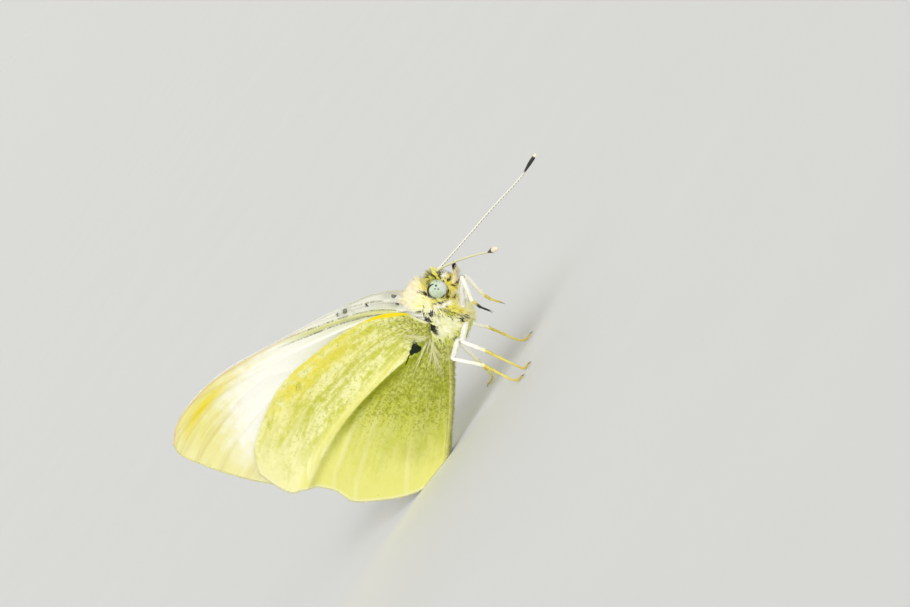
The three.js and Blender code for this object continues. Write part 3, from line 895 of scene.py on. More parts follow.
# Black marks, each with its place seen from the side and its reach: body axes, then head axes.
HINGE_MARKS = [(0.85, 1.95, 0.13), (1.08, 1.5, 0.22), (1.38, 1.36, 0.16), (0.55, 1.68, 0.17),
               (0.3, 1.42, 0.2), (0.0, 0.92, 0.21), (-0.34, 0.8, 0.15)]
# The last three breast marks are painted shade in the groove between head and collar.
BREAST_MARKS_AND_NECK_SHADE = [(1.9, 1.05, 0.14), (1.9, 0.68, 0.17), (1.6, -0.95, 0.2), (1.2, -0.82, 0.13),
                (0.85, -1.4, 0.18), (2.05, 1.72, 0.12), (2.1, 2.1, 0.19), (2.0, 2.45, 0.12)]
HEAD_MARKS = [(0.8, -0.09, 0.1), (0.8, -0.43, 0.09), (0.4, 0.94, 0.06), (0.69, 0.6, 0.08),
              (0.9, 0.22, 0.1), (0.12, -0.75, 0.09), (-0.42, -0.82, 0.09), (-0.45, -1.2, 0.09),
              (0.62, -0.72, 0.08)]
FLAP = [(1.4, 1.62), (1.88, 0.84), (2.44, 0.14)]  # a stripe of white hair under the eye
SEAMS = [  # painted shade in thin partings of the coat
    [(1.52, 1.7), (1.64, 0.3), (1.5, -1.0)], [(1.28, 1.45), (1.36, 0.1), (1.18, -0.85)],
    [(0.3, 1.4), (-0.45, 1.12), (-1.05, 0.66)], [(1.64, 1.74), (2.06, 0.98), (2.3, 0.62)],
]
print("black marks:", len(HINGE_MARKS) + len(BREAST_MARKS_AND_NECK_SHADE) + len(HEAD_MARKS), "seams:", len(SEAMS))


# %% Masks of the markings
def marks(points, places):
    return sum(blob(points, x, z, reach) for x, z, reach in places)


def yellow_mask(points, q, share, outer):
    """Yellow on the breast, under the eye, on the throat and round the eyes."""
    from_eye = np.hypot(q[:, 0], q[:, 2] - EYE_CENTRE[2])
    ring = np.exp(-(((from_eye - 1.0) / 0.32) ** 2)) * share.head
    specks = seeded_specks(q, 9, 60, (-0.5, -1, 0.1), (1.3, 1, 1.2), 0.17)
    return (
        1.2 * blob(points, 2.15, -0.25, 0.6, 1.3) * outer
        + 0.8 * blob(points, 1.95, 1.6, 0.4) * outer
        + (0.65 * ring + 0.8 * share.head * specks)
        + 0.5 * share.head * smooth(q[:, 0], 0.5, 0.9) * smooth(-q[:, 2], -0.4, 0.4)
        + 0.22 * share.breast * smooth(points[:, 0], 1.2, 2.0)
        + 0.5 * blob(points, 0.95, -1.75, 0.6)
        + 0.6 * blob(points, 1.82, 0.1, 0.4, 1.8) * outer
        + 0.7 * blob(points, 2.55, 0.3, 0.45)
    )


def olive_mask(points, q, share, outer, line):
    """Olive low on the chest and to its rear, painted shade beside the seams and in the groove
    behind the eye, and specks over the flank.
    """
    x, _, z = points.T
    specks = seeded_specks(points, 12, 70, (-0.8, -1.9, -1.2), (1.4, 1.9, 1.6), 0.13)
    return (
        smooth(-z - 0.5 * x, 0.15, 1.1) * (share.flank + 0.4 * share.belly)
        # painted shade beside the seams
        + 0.7 * line
        + 0.5 * blob(q, 0.7, 0.7, 0.4) * share.head
        # painted shade in the groove between head and collar, behind the eye
        + 0.7 * blob(points, 2.1, 1.45, 0.28) * outer
        + 0.5 * share.flank * specks
        + 0.8 * share.flank * smooth(-x - 0.4 * z, 0.2, 0.7)
        + 0.4 * share.breast * smooth(-z, 0.6, 1.6)
        + 0.45 * blob(points, 1.75, 0.1, 0.5, 0.6) * outer
    )


def dark_mask(points, q, share, outer, line):
    """Black marks at the hinge, on breast and head, specks on face and flank, a dark belly top,
    and painted shade along the seams and in the groove between head and collar.
    """
    x, _, z = points.T
    from_eye = np.hypot(q[:, 0], q[:, 2] - EYE_CENTRE[2])
    face = seeded_specks(q, 5, 90, (-0.6, -1.1, -0.9), (1.3, 1.1, 1.25), 0.11)
    low = seeded_specks(points, 8, 90, (-1.6, -1.9, -2.2), (0.0, 1.9, 0.5), 0.13)
    return (
        marks(points, HINGE_MARKS) * outer * (1 - share.back)
        + marks(points, BREAST_MARKS_AND_NECK_SHADE) * outer
        + marks(q, HEAD_MARKS) * share.head
        + 0.95 * face * share.head * smooth(from_eye, 0.75, 0.9)
        + 1.1 * low * share.flank
        # painted shade along the seams
        + 0.55 * line
        + 0.55 * share.belly * smooth(z - 0.1 * x, 0.6, 1.6)
    )


def markings(points):
    """All masks at places in body axes, each from 0 to 1; white hair covers yellow and black."""
    x, y, z = points.T
    share, q = regions(points), body_to_head(points)
    outer = smooth(np.abs(y), 0.5, 1.0)
    side_view = points[:, [0, 2]]
    flap = shortest(side_view, curve_at(FLAP, np.linspace(0, 1, 12))) / 0.11
    flap = np.exp(-(flap**2)) * outer
    # Painted shade along the seams, where the coat parts.
    line = np.min([shortest(side_view, np.array(seam)) for seam in SEAMS], axis=0)
    line = np.exp(-((line / 0.06) ** 2)) * outer * (share.flank + share.breast)
    white = 1.3 * flap + 1.3 * blob(q, 1.12, -0.04, 0.25) * share.head
    covered = np.clip(white, 0, 1)
    masks = {
        "yellow": yellow_mask(points, q, share, outer) * (1 - covered),
        "olive": olive_mask(points, q, share, outer, line),
        "dark": dark_mask(points, q, share, outer, line) * (1 - 0.9 * covered),
        "pale": share.flank * smooth(z + 0.25 * x, -0.9, 0.1),
        "rose": share.back * smooth(x, -1, 1.5),
        "white": white,
    }
    return {key: np.clip(value, 0, 1) for key, value in masks.items()}


def stored_markings(points):
    masks = markings(points)
    return {
        "marks_a": np.column_stack([masks[key] for key in ("yellow", "olive", "dark")]),
        "marks_b": np.column_stack([masks[key] for key in ("pale", "rose", "white")]),
    }


def marked_colour(finish, grain):
    """The body's colour from the stored markings: each has a deep and a light shade."""
    yellow, olive, dark = finish.reading("marks_a", "Vector").parts()
    pale, rose, white = finish.reading("marks_b", "Vector").parts()
    step = grain.rise(0.15, 0.55)
    colour = finish.mix(step, paint(234, 220, 100), paint(255, 252, 206))
    for share, deep, light in (
        (rose * 0.8, (222, 200, 122), (250, 238, 202)),
        (pale * 0.8, (232, 234, 140), (255, 255, 226)),
        (yellow, (212, 188, 0), (243, 229, 52)),
        (olive * 0.95, (128, 138, 0), (222, 226, 70)),
        (white, (246, 236, 196), (255, 254, 244)),
    ):
        colour = finish.mix(share, colour, finish.mix(step, paint(*deep), paint(*light)))
    return finish.mix((dark + grain * 0.2 - 0.1).rise(0.3, 0.55), colour, paint(30, 27, 14))


print("masks:", list(markings(np.zeros((1, 3)))))

# %% Skin
def add_skin():
    finish = Finish("body_skin")
    place = finish.place()
    grain = finish.noise(place, 2.5, 3.0, 0.6)
    pores = finish.cells(place, 9.0)
    colour = marked_colour(finish, grain)
    material = finish.shade(colour, 0.8, Normal=finish.bump(pores, 0.02))
    add_piece("skin", SKIN_POINTS, SKIN_FACES, material,
              ["head", "thorax", "abdomen"], stored_markings(to_body(SKIN_POINTS)))


add_skin()
print("darkest share of the skin:", markings(to_body(SKIN_POINTS))["dark"].mean().round(3))

# %% [markdown]
# ## Hair and scales as solid strands
# The coat is made of tapered strands with three sides: a particle system would be lost when the
# model is exported, and solid strands cast real shadows on each other. Every strand has a root on
# the skin, follows the lie of the coat there, and leans towards the middle of its tuft, because
# loose hairs alone look like grass and tufts look like wool.

# %% Strand builder
TAPER = {  # shares along a strand, and its width there
    "hair": ([0, 0.15, 0.6, 1], [0.75, 1.0, 0.7, 0.0]),
    "scale": ([0, 0.35, 0.8, 1], [0.45, 1.0, 0.85, 0.0]),
}
PATCH = 0.0015  # half the side of a strand's patch on the baking map
BELLY_END, BODY_LENGTH = -11.6, 16.6  # in body axes, with some room at both ends


def unit(vectors):
    return vectors / np.maximum(np.linalg.norm(vectors, axis=-1, keepdims=True), 1e-12)


def strand_faces(steps):
    """The triangles of one strand: three-sided rings that end in a point, closed at the root."""
    faces, last = [], 3 * (steps - 2)
    for j in range(3):
        k = (j + 1) % 3
        for ring in range(0, last, 3):
            a, b = ring + j, ring + k
            faces += [(a, b + 3, b), (a, a + 3, b + 3)]
        faces.append((last + j, last + 3, last + k))
    faces.append((0, 1, 2))
    return np.array(faces)


def strand_mesh(lines, ups, widths, roots, shape="hair", thin=0.5):
    """Tapered strands on centre lines (strand, step, 3); roots is each strand's place on the
    baking map. Returns a dictionary with points, faces, patches, and for each point the share
    along, its strand and a normal that leans to the strand's up, so the coat is lit as a whole."""
    count, steps, _ = lines.shape
    share = np.linspace(0, 1, steps)
    wide = widths[:, None] / 2 * np.interp(share, *TAPER[shape])
    along = unit(np.gradient(lines, axis=1))
    across = unit(np.cross(along, ups[:, None, :]))
    up = np.cross(across, along)
    angle = np.radians([90, 210, 330])[None, None, :, None]
    spokes = np.cos(angle) * across[:, :-1, None] + thin * np.sin(angle) * up[:, :-1, None]
    rings = lines[:, :-1, None] + wide[:, :-1, None, None] * spokes
    points = np.concatenate((rings.reshape(count, -1, 3), lines[:, -1:]), axis=1)
    size = points.shape[1]
    faces = strand_faces(steps)[None] + size * np.arange(count)[:, None, None]
    share = np.append(np.repeat(share[:-1], 3), 1.0)
    offset = np.column_stack((np.append(np.tile([-1, 0, 1], steps - 1), 0), 2 * share - 1)) * PATCH
    patches = (roots[:, None, :] + offset[None]).reshape(-1, 2)
    round_it = np.cos(angle) * across[:, :-1, None] + np.sin(angle) * up[:, :-1, None]
    normals = unit(0.42 * round_it + 0.7 * unit(ups)[:, None, None, :]).reshape(count, -1, 3)
    normals = np.concatenate((normals, unit(ups)[:, None, :]), axis=1)
    return {"points": points.reshape(-1, 3), "faces": faces.reshape(-1, 3),
            "tip": np.tile(share, count), "patches": patches,
            "owner": np.repeat(np.arange(count), size), "normals": normals.reshape(-1, 3)}


def unwrap(points):
    """A place on the body's baking map: lengthwise, and round the body from the belly."""
    x, y, z = points.T
    around = np.arctan2(y, z - 0.6 - 0.1 * x) / (2 * math.pi) + 0.5
    return np.column_stack((0.02 + 0.96 * (x - BELLY_END) / BODY_LENGTH, 0.02 + 0.96 * around))


print("a strand of four steps has", len(strand_faces(4)), "triangles")

# %% Places for roots
def under_wings(points):
    """True where a place on the body is covered by a hindwing or forewing."""
    x, z = points[:, 0], points[:, 2]
    covered = np.zeros(len(points), bool)
    share = np.linspace(0, 1, 60)
    for outline in (FOREWING, HINDWING):
        front, outer, rear = (curve_at(outline[edge], share) for edge in ("front", "outer", "rear"))
        ring = np.vstack((front, outer, rear[::-1]))
        inside = np.zeros(len(points), bool)
        for (x0, z0), (x1, z1) in zip(ring, np.roll(ring, -1, axis=0)):
            if z0 != z1:
                crosses = ((z0 > z) != (z1 > z)) & (x < x0 + (z - z0) * (x1 - x0) / (z1 - z0))
                inside ^= crosses
        covered |= inside
    return covered


def scatter(count, wanted, seed):
    """Up to count random places on the skin, thinned by wanted(points, region shares)."""
    rng = np.random.default_rng(seed)
    a, b, c = (SKIN_POINTS[SKIN_FACES[:, k]] for k in range(3))
    area = np.linalg.norm(np.cross(b - a, c - a), axis=1)
    pool = rng.choice(len(SKIN_FACES), count * 14, p=area / area.sum())
    s, t = rng.random((2, len(pool)))
    s, t = np.where(s + t > 1, 1 - s, s)[:, None], np.where(s + t > 1, 1 - t, t)[:, None]
    places = a[pool] + s * (b - a)[pool] + t * (c - a)[pool]
    outward = sum(w * SKIN_NORMALS[SKIN_FACES[pool, k]] for k, w in enumerate((1 - s - t, s, t)))
    body = to_body(places)
    keep = rng.random(len(pool)) < wanted(body, regions(body))
    keep &= ~(under_wings(body) & (body[:, 0] < 0.9) & (body[:, 2] - 0.35 * body[:, 0] > 1.0))
    chosen = np.flatnonzero(keep)[:count]
    return places[chosen], unit(outward[chosen]), rng


print("points of the skin under the wings:", under_wings(to_body(SKIN_POINTS)).sum())

# %% Coat builder
BODY_AXES = leaned(np.eye(3))


def in_floor_axes(vectors):
    return vectors @ BODY_AXES


def clumped(tips, roots, rng, tuft, pull):
    """Draws the tips of each tuft together; tuft is how many strands make one."""
    centres = rng.choice(len(roots), max(1, len(roots) // tuft), replace=False)
    nearest = np.empty(len(roots), int)
    for start in range(0, len(roots), 2000):
        gaps = roots[start:start + 2000, None] - roots[None, centres]
        nearest[start:start + 2000] = np.argmin(np.einsum("ijk,ijk->ij", gaps, gaps), axis=1)
    middle = centres[nearest]
    alike = (tips[middle] - roots[middle]) - (tips - roots)
    return tips + pull * alike + 0.25 * pull * (roots[middle] - roots)


def add_coat(name, finish, count, wanted, lie, stand, length, width, seed, tuft=9, pull=0.5,
             shape="hair", droop=0.5, thin=0.5, dark_share=0.0):
    """A coat over part of the skin. lie(body places) is the way it lies, stand from 0 for flat
    to 1 for upright, length(body places) and width in millimetres."""
    roots, outward, rng = scatter(count, wanted, seed)
    body = to_body(roots)
    along = in_floor_axes(lie(body))
    along = unit(along - outward * np.sum(along * outward, axis=1, keepdims=True))
    along = unit(along + 0.28 * rng.normal(size=along.shape))
    rise = np.clip(stand + 0.12 * rng.normal(size=len(roots)), 0.03, 1)[:, None]
    first = unit(outward * (rise + 0.25) + along * (1 - rise))
    last = unit(outward * rise * (1 - droop) + along * (1 - rise * (1 - droop)))
    long = (length(body) * rng.uniform(0.65, 1.2, len(roots)) * MM)[:, None]
    tips = clumped(roots + long * unit(first + last), roots, rng, tuft, pull)
    t = np.linspace(0, 1, 4)[None, :, None]
    knee = roots[:, None] + 0.5 * long[:, None] * first[:, None]
    buried = roots[:, None] - 0.05 * MM * outward[:, None]
    lines = (1 - t) ** 2 * buried + 2 * t * (1 - t) * knee + t**2 * tips[:, None]
    widths = width * MM * rng.uniform(0.7, 1.25, len(roots))
    strands = strand_mesh(lines, outward, widths, unwrap(body), shape, thin)
    marks = stored_markings(body)
    marks["marks_a"][rng.random(len(roots)) < dark_share, 2] = 1.0
    marks["shade"] = rng.random(len(roots))
    add_strands(name, strands, finish, marks)


def add_strands(name, strands, finish, per_strand, leaning=True):
    """One piece of many strands; per_strand holds a value, or a row of three, for each."""
    stored = {key: value[strands["owner"]] for key, value in per_strand.items()}
    stored["tip"] = strands["tip"]
    add_piece(name, strands["points"], strands["faces"], finish, (), stored,
              strands["patches"], strands["normals"] if leaning else None)
    print(f"{name}: {len(per_strand['shade'])} strands, {len(strands['faces'])} triangles")


print("the body's back points to", BODY_AXES[2].round(2))

# %% Finish of the wool
def make_wool():
    finish = Finish("wool")
    shade, tip = finish.reading("shade"), finish.reading("tip")
    colour = marked_colour(finish, shade)
    colour = finish.mix(tip.rise(0.3, 0.0) * 0.15, colour, paint(220, 204, 110))
    colour = finish.mix(tip.rise(0.6, 1.0) * 0.4, colour, paint(255, 255, 246))
    # The glow of 0.22 is painted light: the wool emits its own colour in place of light through the
    # hairs.
    return finish.shade(colour, 0.5, 0.22, Specular_IOR_Level=0.25)


wool = make_wool()
print("wool:", len(wool.node_tree.nodes), "nodes")

# %% [markdown]
# ## The coat, region by region
# The collar and back carry long upright wool, the breast shorter hair that hangs down, the flanks
# flat scales that lie to the rear, and the belly the flattest scales of all. The head is
# bristly: upright on the crown, swept back behind the eyes and shortest on the face.

# %% Back, breast, flank and belly
def constant(*vector):
    return lambda body: np.tile(np.array(vector, float), (len(body), 1))


def back_length(body):
    """Longest at the nape and over the roots of the wings."""
    x = body[:, 0]
    nape = 0.25 * smooth(x, 0.5, 2.4) + 0.2 * smooth(x, 1.9, 2.5)
    return 0.62 + nape + 0.35 * smooth(np.abs(x - 0.7), 0.8, 0.2)


def breast_length(body):
    return 0.42 + 0.45 * smooth(-body[:, 2], -0.3, 0.8)


def back_lie(body):
    """Up, and the rear hairs back over the roots of the wings."""
    rear = smooth(body[:, 0], 1.7, 0.6)
    return np.column_stack((0.25 - 0.8 * rear, 0 * rear, 1 - 0.3 * rear))


add_coat("coat_back", wool, 9000, lambda p, r: r.back,
         back_lie, 0.68, back_length, 0.095, 11, tuft=6, pull=0.5, droop=0.3)
add_coat("coat_breast", wool, 8500, lambda p, r: r.breast,
         constant(0.15, 0, -1), 0.42, breast_length, 0.08, 12, tuft=9, pull=0.6)


def flank_lie(body):
    """Down and back, in slow swirls."""
    turn = math.radians(-118) + 0.55 * np.sin(2.1 * body[:, 0] + 1.5 * body[:, 2])
    return np.column_stack((np.cos(turn), 0 * turn, np.sin(turn)))


add_coat("coat_flank", wool, 9000, lambda p, r: r.flank, flank_lie,
         0.13, lambda p: 0.72 - 0.35 * blob(p, 0.6, 1.6, 0.9), 0.09, 13, tuft=10, pull=0.65, thin=0.35)
add_coat("coat_belly", wool, 7500, lambda p, r: r.belly,
         constant(-1, 0, 0), 0.08, lambda p: 0.3 + 0 * p[:, 0], 0.1, 14, tuft=4, pull=0.2,
         shape="scale", thin=0.3)

# %% Head
def head_lie(body):
    q = body_to_head(body)
    face = smooth(q[:, 0], 0.2, 0.9)[:, None]
    crown = smooth(q[:, 2], 0.3, 1.0)[:, None]
    chin = smooth(-q[:, 2], 0.2, 0.7)[:, None]
    swept = np.array([-1.0, 0, -0.15]) * (1 - crown) + np.array([0.1, 0, 1.0]) * crown
    front = np.array([0.4, 0, 0.6]) * (1 - chin) + np.array([1.0, 0, -0.6]) * chin
    return swept * (1 - face) + front * face


def head_length(body):
    q = body_to_head(body)
    crest = smooth(q[:, 2] + 0.75 * q[:, 0], 0.7, 1.3) * smooth(q[:, 2], 0.0, 0.5)
    face = smooth(q[:, 0], 0.6, 1.2) * (1 - crest)
    chin = smooth(-q[:, 2], 0.3, 0.8) * smooth(q[:, 0], -0.1, 0.5)
    return 0.36 + 0.42 * crest - 0.08 * face + 0.42 * chin


def from_eyes(body):
    """How far places are from the middle of the nearer eye; 1 is on its dome."""
    q = body_to_head(body)
    q[:, 1] = np.abs(q[:, 1])
    return np.linalg.norm((q - EYE_CENTRE) / EYE_RADII, axis=1)


add_coat("coat_head", wool, 8500,
         lambda p, r: r.head * smooth(from_eyes(p), 1.15, 1.28), head_lie,
         0.42, head_length, 0.068, 15, tuft=6, pull=0.55)

# %% Dark bristles
def make_dark_bristles():
    finish = Finish("dark_bristles")
    shade = finish.reading("shade")
    colour = finish.mix(shade.rise(0.5, 0.9), paint(26, 22, 12), paint(92, 76, 26))
    return finish.shade(colour, 0.4)


def bristly(body, region):
    """Where single dark hairs stand among the pale ones: cheeks, crown, breast and hinge."""
    away = from_eyes(body)
    head = region.head * smooth(away, 1.12, 1.25) * smooth(away, 2.4, 1.5)
    hinge = blob(body, 0.5, 1.4, 0.9) * region.flank
    low = region.flank * smooth(-body[:, 2], 0.2, 1)
    return 0.9 * head + 0.35 * region.breast + 0.9 * hinge + 0.25 * low


def bristle_lie(body):
    head = regions(body).head[:, None]
    return head_lie(body) * head + flank_lie(body) * (1 - head)


add_coat("coat_dark", make_dark_bristles(), 1000, bristly, bristle_lie,
         0.3, lambda p: 0.5 + 0 * p[:, 0], 0.055, 16, tuft=3, pull=0.6)

# %% [markdown]
# ## Eyes
# Each eye is a dome of thousands of tiny facets over a pale green depth, in which a few dark spots
# float. The spots are kept as directions on the dome, the facets as relief. A dark rim, where the
# eye sits in its socket, is added once there is a maker of tubes.

# %% Eye domes
EYE_SPOTS = [  # forward and up as shares of the dome, size, strength
    (0.72, 0.28, 0.13, 1.0), (0.44, 0.25, 0.09, 0.9), (0.54, -0.07, 0.09, 0.9),
    (0.62, 0.6, 0.09, 0.55), (0.51, 0.51, 0.08, 0.45), (0.1, 0.37, 0.09, 0.45),
    (0.08, -0.15, 0.09, 0.4), (0.34, 0.6, 0.08, 0.4), (0.93, 0.34, 0.12, 0.6), (0.97, 0.05, 0.1, 0.5),
]


def gaze_at(polar, around):
    """Directions from an eye's middle: forward, outward, up. The poles face sideways."""
    wide = np.sin(polar)
    return np.column_stack((wide * np.cos(around), np.cos(polar), wide * np.sin(around)))


def dome(rows, columns):
    polar = np.repeat(np.linspace(0.001, math.pi - 0.001, rows), columns)
    around = np.tile(np.linspace(0, 2 * math.pi, columns, endpoint=False), rows)
    return gaze_at(polar, around)


def make_eye_finish():
    finish = Finish("eye_dome")
    place = finish.reading("gaze", "Vector")
    forward, outward, up = place.parts()
    facets = finish.cells(place, 26.0)
    cloud = finish.noise(place, 3.0, 3.0)
    mottle = finish.noise(place, 16.0, 3.0, 0.7)
    colour = finish.mix(cloud.rise(0.3, 0.7), paint(196, 218, 184), paint(222, 234, 210))
    colour = finish.mix(mottle.rise(0.55, 0.75) * 0.6, colour, paint(160, 184, 150))
    colour = finish.mix((forward - up * 0.9).rise(0.6, 1.25) * 0.8, colour, paint(232, 234, 240))
    spots = finish.reading("spots")
    colour = finish.mix((spots + mottle * 0.2 - 0.1).rise(0.25, 0.55), colour, paint(22, 24, 18))
    depth = (outward - up * 0.15).rise(0.5, 0.2) * forward.rise(0.6, 0.2)
    colour = finish.mix(depth, colour, paint(30, 28, 18))
    return finish.shade(colour, 0.28, Normal=finish.bump(facets, 0.012),
                        Coat_Weight=0.35, Coat_Roughness=0.12)


def add_eyes(rows=60, columns=84):
    finish = make_eye_finish()
    gaze, faces = dome(rows, columns), grid_faces(rows, columns, close=True)
    spots = np.zeros(len(gaze))
    for forward, up, size, strength in EYE_SPOTS:
        outward = math.sqrt(max(0.02, 1 - forward**2 - up**2))
        gap = np.linalg.norm(gaze - unit(np.array([forward, outward, up])), axis=1)
        spots = np.maximum(spots, strength * np.exp(-((gap / size) ** 2)))
    for name, side in SIDES.items():
        places = from_body(head_to_body(sided(EYE_CENTRE + gaze * EYE_RADII, side)))
        add_piece(f"dome_eye_{name}", places, faces[:, ::-1] if side < 0 else faces, finish,
                  [f"eye_{name}"], {"gaze": gaze, "spots": spots})


add_eyes()
print("eye domes added")

# %% [markdown]
# ## Tubes that taper
# Feelers, legs, tongue and the rims of the eyes are all a line with a thickness that changes along
# it. One tube maker serves them all: it carries a ring along the line without letting it twist and
# closes both ends.

# %% Tube maker
def tube(route, radii, sides=12):
    """A closed tube along a route in metres. Returns points, triangles, the length along in
    millimetres, and the direction round the tube of each point."""
    route, radii = np.asarray(route, float), np.asarray(radii, float) * MM
    along = unit(np.gradient(route, axis=0))
    up = np.empty_like(route)
    up[0] = unit(np.cross(along[0], np.cross([0.03, 0.02, 1.0], along[0])))
    for k in range(1, len(route)):
        up[k] = unit(up[k - 1] - along[k] * (up[k - 1] @ along[k]))
    across = np.cross(along, up)
    angle = np.linspace(0, 2 * math.pi, sides, endpoint=False)[None, :, None]
    spokes = np.cos(angle) * up[:, None] + np.sin(angle) * across[:, None]
    rings = (route[:, None] + radii[:, None, None] * spokes).reshape(-1, 3)
    quads = grid_faces(len(route), sides, close=True)
    faces = np.vstack((quads[:, [0, 2, 1]], quads[:, [0, 3, 2]]))
    ends, last = len(rings), (len(route) - 1) * sides
    ring = np.arange(sides)
    cap = np.column_stack((ring, np.roll(ring, -1), np.full(sides, ends)))
    faces = np.vstack((faces, cap, cap[:, [1, 0, 2]] + [last, last, 1]))
    gone = np.append(0, np.cumsum(np.linalg.norm(np.diff(route, axis=0), axis=1))) / MM
    tips = route[0] - along[0] * radii[0] * 0.4, route[-1] + along[-1] * radii[-1] * 0.5
    points = np.vstack((rings, *tips))
    length = np.append(np.repeat(gone, sides), [0, gone[-1]])
    round_it = np.vstack((spokes.reshape(-1, 3), -along[:1], along[-1:]))
    return points, faces[:, ::-1], length, round_it


def add_tube(name, route, radii, finish, stands_for=(), sides=12):
    points, faces, length, spokes = tube(route, radii, sides)
    stored = {"length": length, "share": length / length[-1], "under": -spokes[:, 2]}
    return add_piece(name, points, faces, finish, stands_for, stored)


def plain_finish(name, light, dark, roughness):
    """A finish for small hard parts: two shades, mixed by a noise, over a fine grain."""
    finish = Finish(name)
    place = finish.place()
    colour = finish.mix(finish.noise(place, 6.0, 3.0).rise(0.35, 0.65), light, dark)
    relief = finish.bump(finish.noise(place, 30.0), 0.01)
    return finish.shade(colour, roughness, Normal=relief)


print("triangles in a short tube:", len(tube(np.eye(3), [1, 1, 1])[1]))

# %% Rims of the eyes
def add_eye_rims():
    """A dark ring over the top and round the rear of each eye, thin at its ends."""
    finish = plain_finish("eye_rim", paint(34, 30, 18), paint(14, 13, 10), 0.5)
    share = np.linspace(0, 1, 48)
    gaze = gaze_at(np.radians(62 - 6 * share), np.radians(34 + 240 * share))
    radii = 0.12 * np.sin(math.pi * np.clip(share, 0.03, 0.97)) ** 0.6
    for name, side in SIDES.items():
        route = from_body(head_to_body(sided(EYE_CENTRE + gaze * EYE_RADII, side)))
        add_tube(f"rim_eye_{name}", route, radii, finish, sides=10)


add_eye_rims()
print("rims added")

# %% [markdown]
# ## Feelers
# A feeler is a chain of about thirty-five little rings, pale above with a dark mark under each
# ring, and ends in a black club with a cream tip. The rings are a real swelling of the tube, the
# marks a repeating mask along it. The two feelers are not alike: the one nearer the viewer is
# yellower, bows a little and has the thicker club.

# %% Feelers
ANTENNA_ROOT, ANTENNA_LENGTH, CLUB_LENGTH = (1.1, 0.28, 0.6), 12.35, 2.0
ANTENNA_SPREAD, ANTENNA_DIP, ANTENNA_ARCH = math.radians(36.4), math.radians(6.4), 0.1
FEELER_SAG = {"left": -0.08, "right": 0.22}  # a slight bow of each feeler
FEELER_DIP = {"left": 0.2, "right": 0.0}  # how far the shaft droops before the club turns up
CLUB_SWELL = {"left": 0.085, "right": 0.15}
RING = 0.3


def feeler_point(side, distance, arch):
    """A place on a feeler in metres: distance from its root, in millimetres, and how far above."""
    forward = 0.35 if side < 0 else 0.05  # the near feeler starts further forward
    root = (leaned(head_to_body(sided(ANTENNA_ROOT, side) + [forward, 0, 0])) + CHEST)[0]
    turn = ANTENNA_SPREAD * side + HEAD_TURN
    level = np.array([math.cos(turn), math.sin(turn), 0]) * math.cos(ANTENNA_DIP)
    distance, arch = np.atleast_1d(distance)[:, None], np.atleast_1d(arch)[:, None]
    return (root + distance * level + [0, 0, 1] * (arch - distance * math.sin(ANTENNA_DIP))) * MM


def make_feeler_finish(name, shaft, mark):
    finish = Finish(name)
    length, under = finish.reading("length"), finish.reading("under")
    beat = finish.node("Math", {"operation": "FRACT"}, {0: length / RING})
    grain = finish.noise(finish.place(), 9.0, 3.0)
    dash = beat.near(0.5, 0.34) * (under + grain * 0.5).rise(0.1, 0.4)
    colour = finish.mix(grain, shaft, paint(250, 248, 226))
    colour = finish.mix(dash, colour, mark)
    colour = finish.mix(beat.near(0.0, 0.14) * 0.4, colour, paint(120, 110, 70))
    return finish.shade(colour, 0.5, Normal=finish.bump(grain, 0.01))


def make_club_finish(name, tip):
    """Black, with a pale tip from that share of the club's length on."""
    finish = Finish(name)
    share = finish.reading("share")
    grain = finish.noise(finish.place(), 10.0, 3.0)
    colour = finish.mix(share.rise(0.0, 0.16), paint(236, 232, 206), paint(34, 32, 26))
    colour = finish.mix((share + grain * 0.1).rise(tip, tip + 0.07), colour, paint(250, 240, 206))
    return finish.shade(colour, 0.6, Normal=finish.bump(grain, 0.02))


print("end of the left feeler, mm:", (feeler_point(1, ANTENNA_LENGTH, ANTENNA_ARCH) / MM).round(1))

# %% Shafts and clubs
SHAFT_LENGTH = ANTENNA_LENGTH - CLUB_LENGTH


def add_shaft(name, side, finish):
    run = np.linspace(-0.35, SHAFT_LENGTH + 0.05, 200)
    bow = np.sin(math.pi * np.clip(run / SHAFT_LENGTH, 0, 1)) ** 0.7
    droop = FEELER_DIP[name] * smooth(run, 0.55 * SHAFT_LENGTH, SHAFT_LENGTH)
    arch = FEELER_SAG[name] * bow + ANTENNA_ARCH * 0.3 - droop
    radii = 0.085 + 0.05 * np.exp(-np.maximum(run, 0) / 0.35) - 0.012 * run / SHAFT_LENGTH
    radii = radii + 0.008 * np.cos(2 * math.pi * run / RING)
    add_tube(f"feeler_{name}", feeler_point(side, run, arch), radii, finish,
             [f"antenna_{name}_shaft"])


def add_club(name, side, finish):
    share = np.linspace(0, 1, 50)
    run = SHAFT_LENGTH + 0.02 + share * (CLUB_LENGTH - 0.06)
    blunt = np.clip(1 - (np.maximum(share - 0.62, 0) / 0.39) ** 2, 0.05, 1)
    swell = smooth(share, 0.0, 0.62) * np.sqrt(blunt)
    arch = ANTENNA_ARCH * (0.3 + 0.7 * share) - FEELER_DIP[name] * (1 - share) ** 1.5
    add_tube(f"club_{name}", feeler_point(side, run, arch), 0.075 + CLUB_SWELL[name] * swell,
             finish, [f"antenna_{name}_club"], sides=16)


def add_feelers():
    shafts = {"left": make_feeler_finish("feeler_far", paint(240, 238, 222), paint(40, 38, 28)),
              "right": make_feeler_finish("feeler_near", paint(220, 210, 112), paint(110, 92, 34))}
    # The near club's longer cream tip is partly its own pale tip, partly a painted highlight.
    clubs = {"left": make_club_finish("club_far", 0.86), "right": make_club_finish("club_near", 0.66)}
    for name, side in SIDES.items():
        add_shaft(name, side, shafts[name])
        add_club(name, side, clubs[name])


add_feelers()
print("rings on a shaft:", round(SHAFT_LENGTH / RING))

# %% [markdown]
# ## Legs
# Six thin legs, white and scaly down to the shin, turning yellow and amber on the feet, which have
# five joints and end in two dark claws. The hind and middle feet lie on the floor; the front ones
# are held up, as this butterfly holds them. Knees and feet stay where the solid legs have them; the
# thighs start inside the coat, so that the wool closes round them.

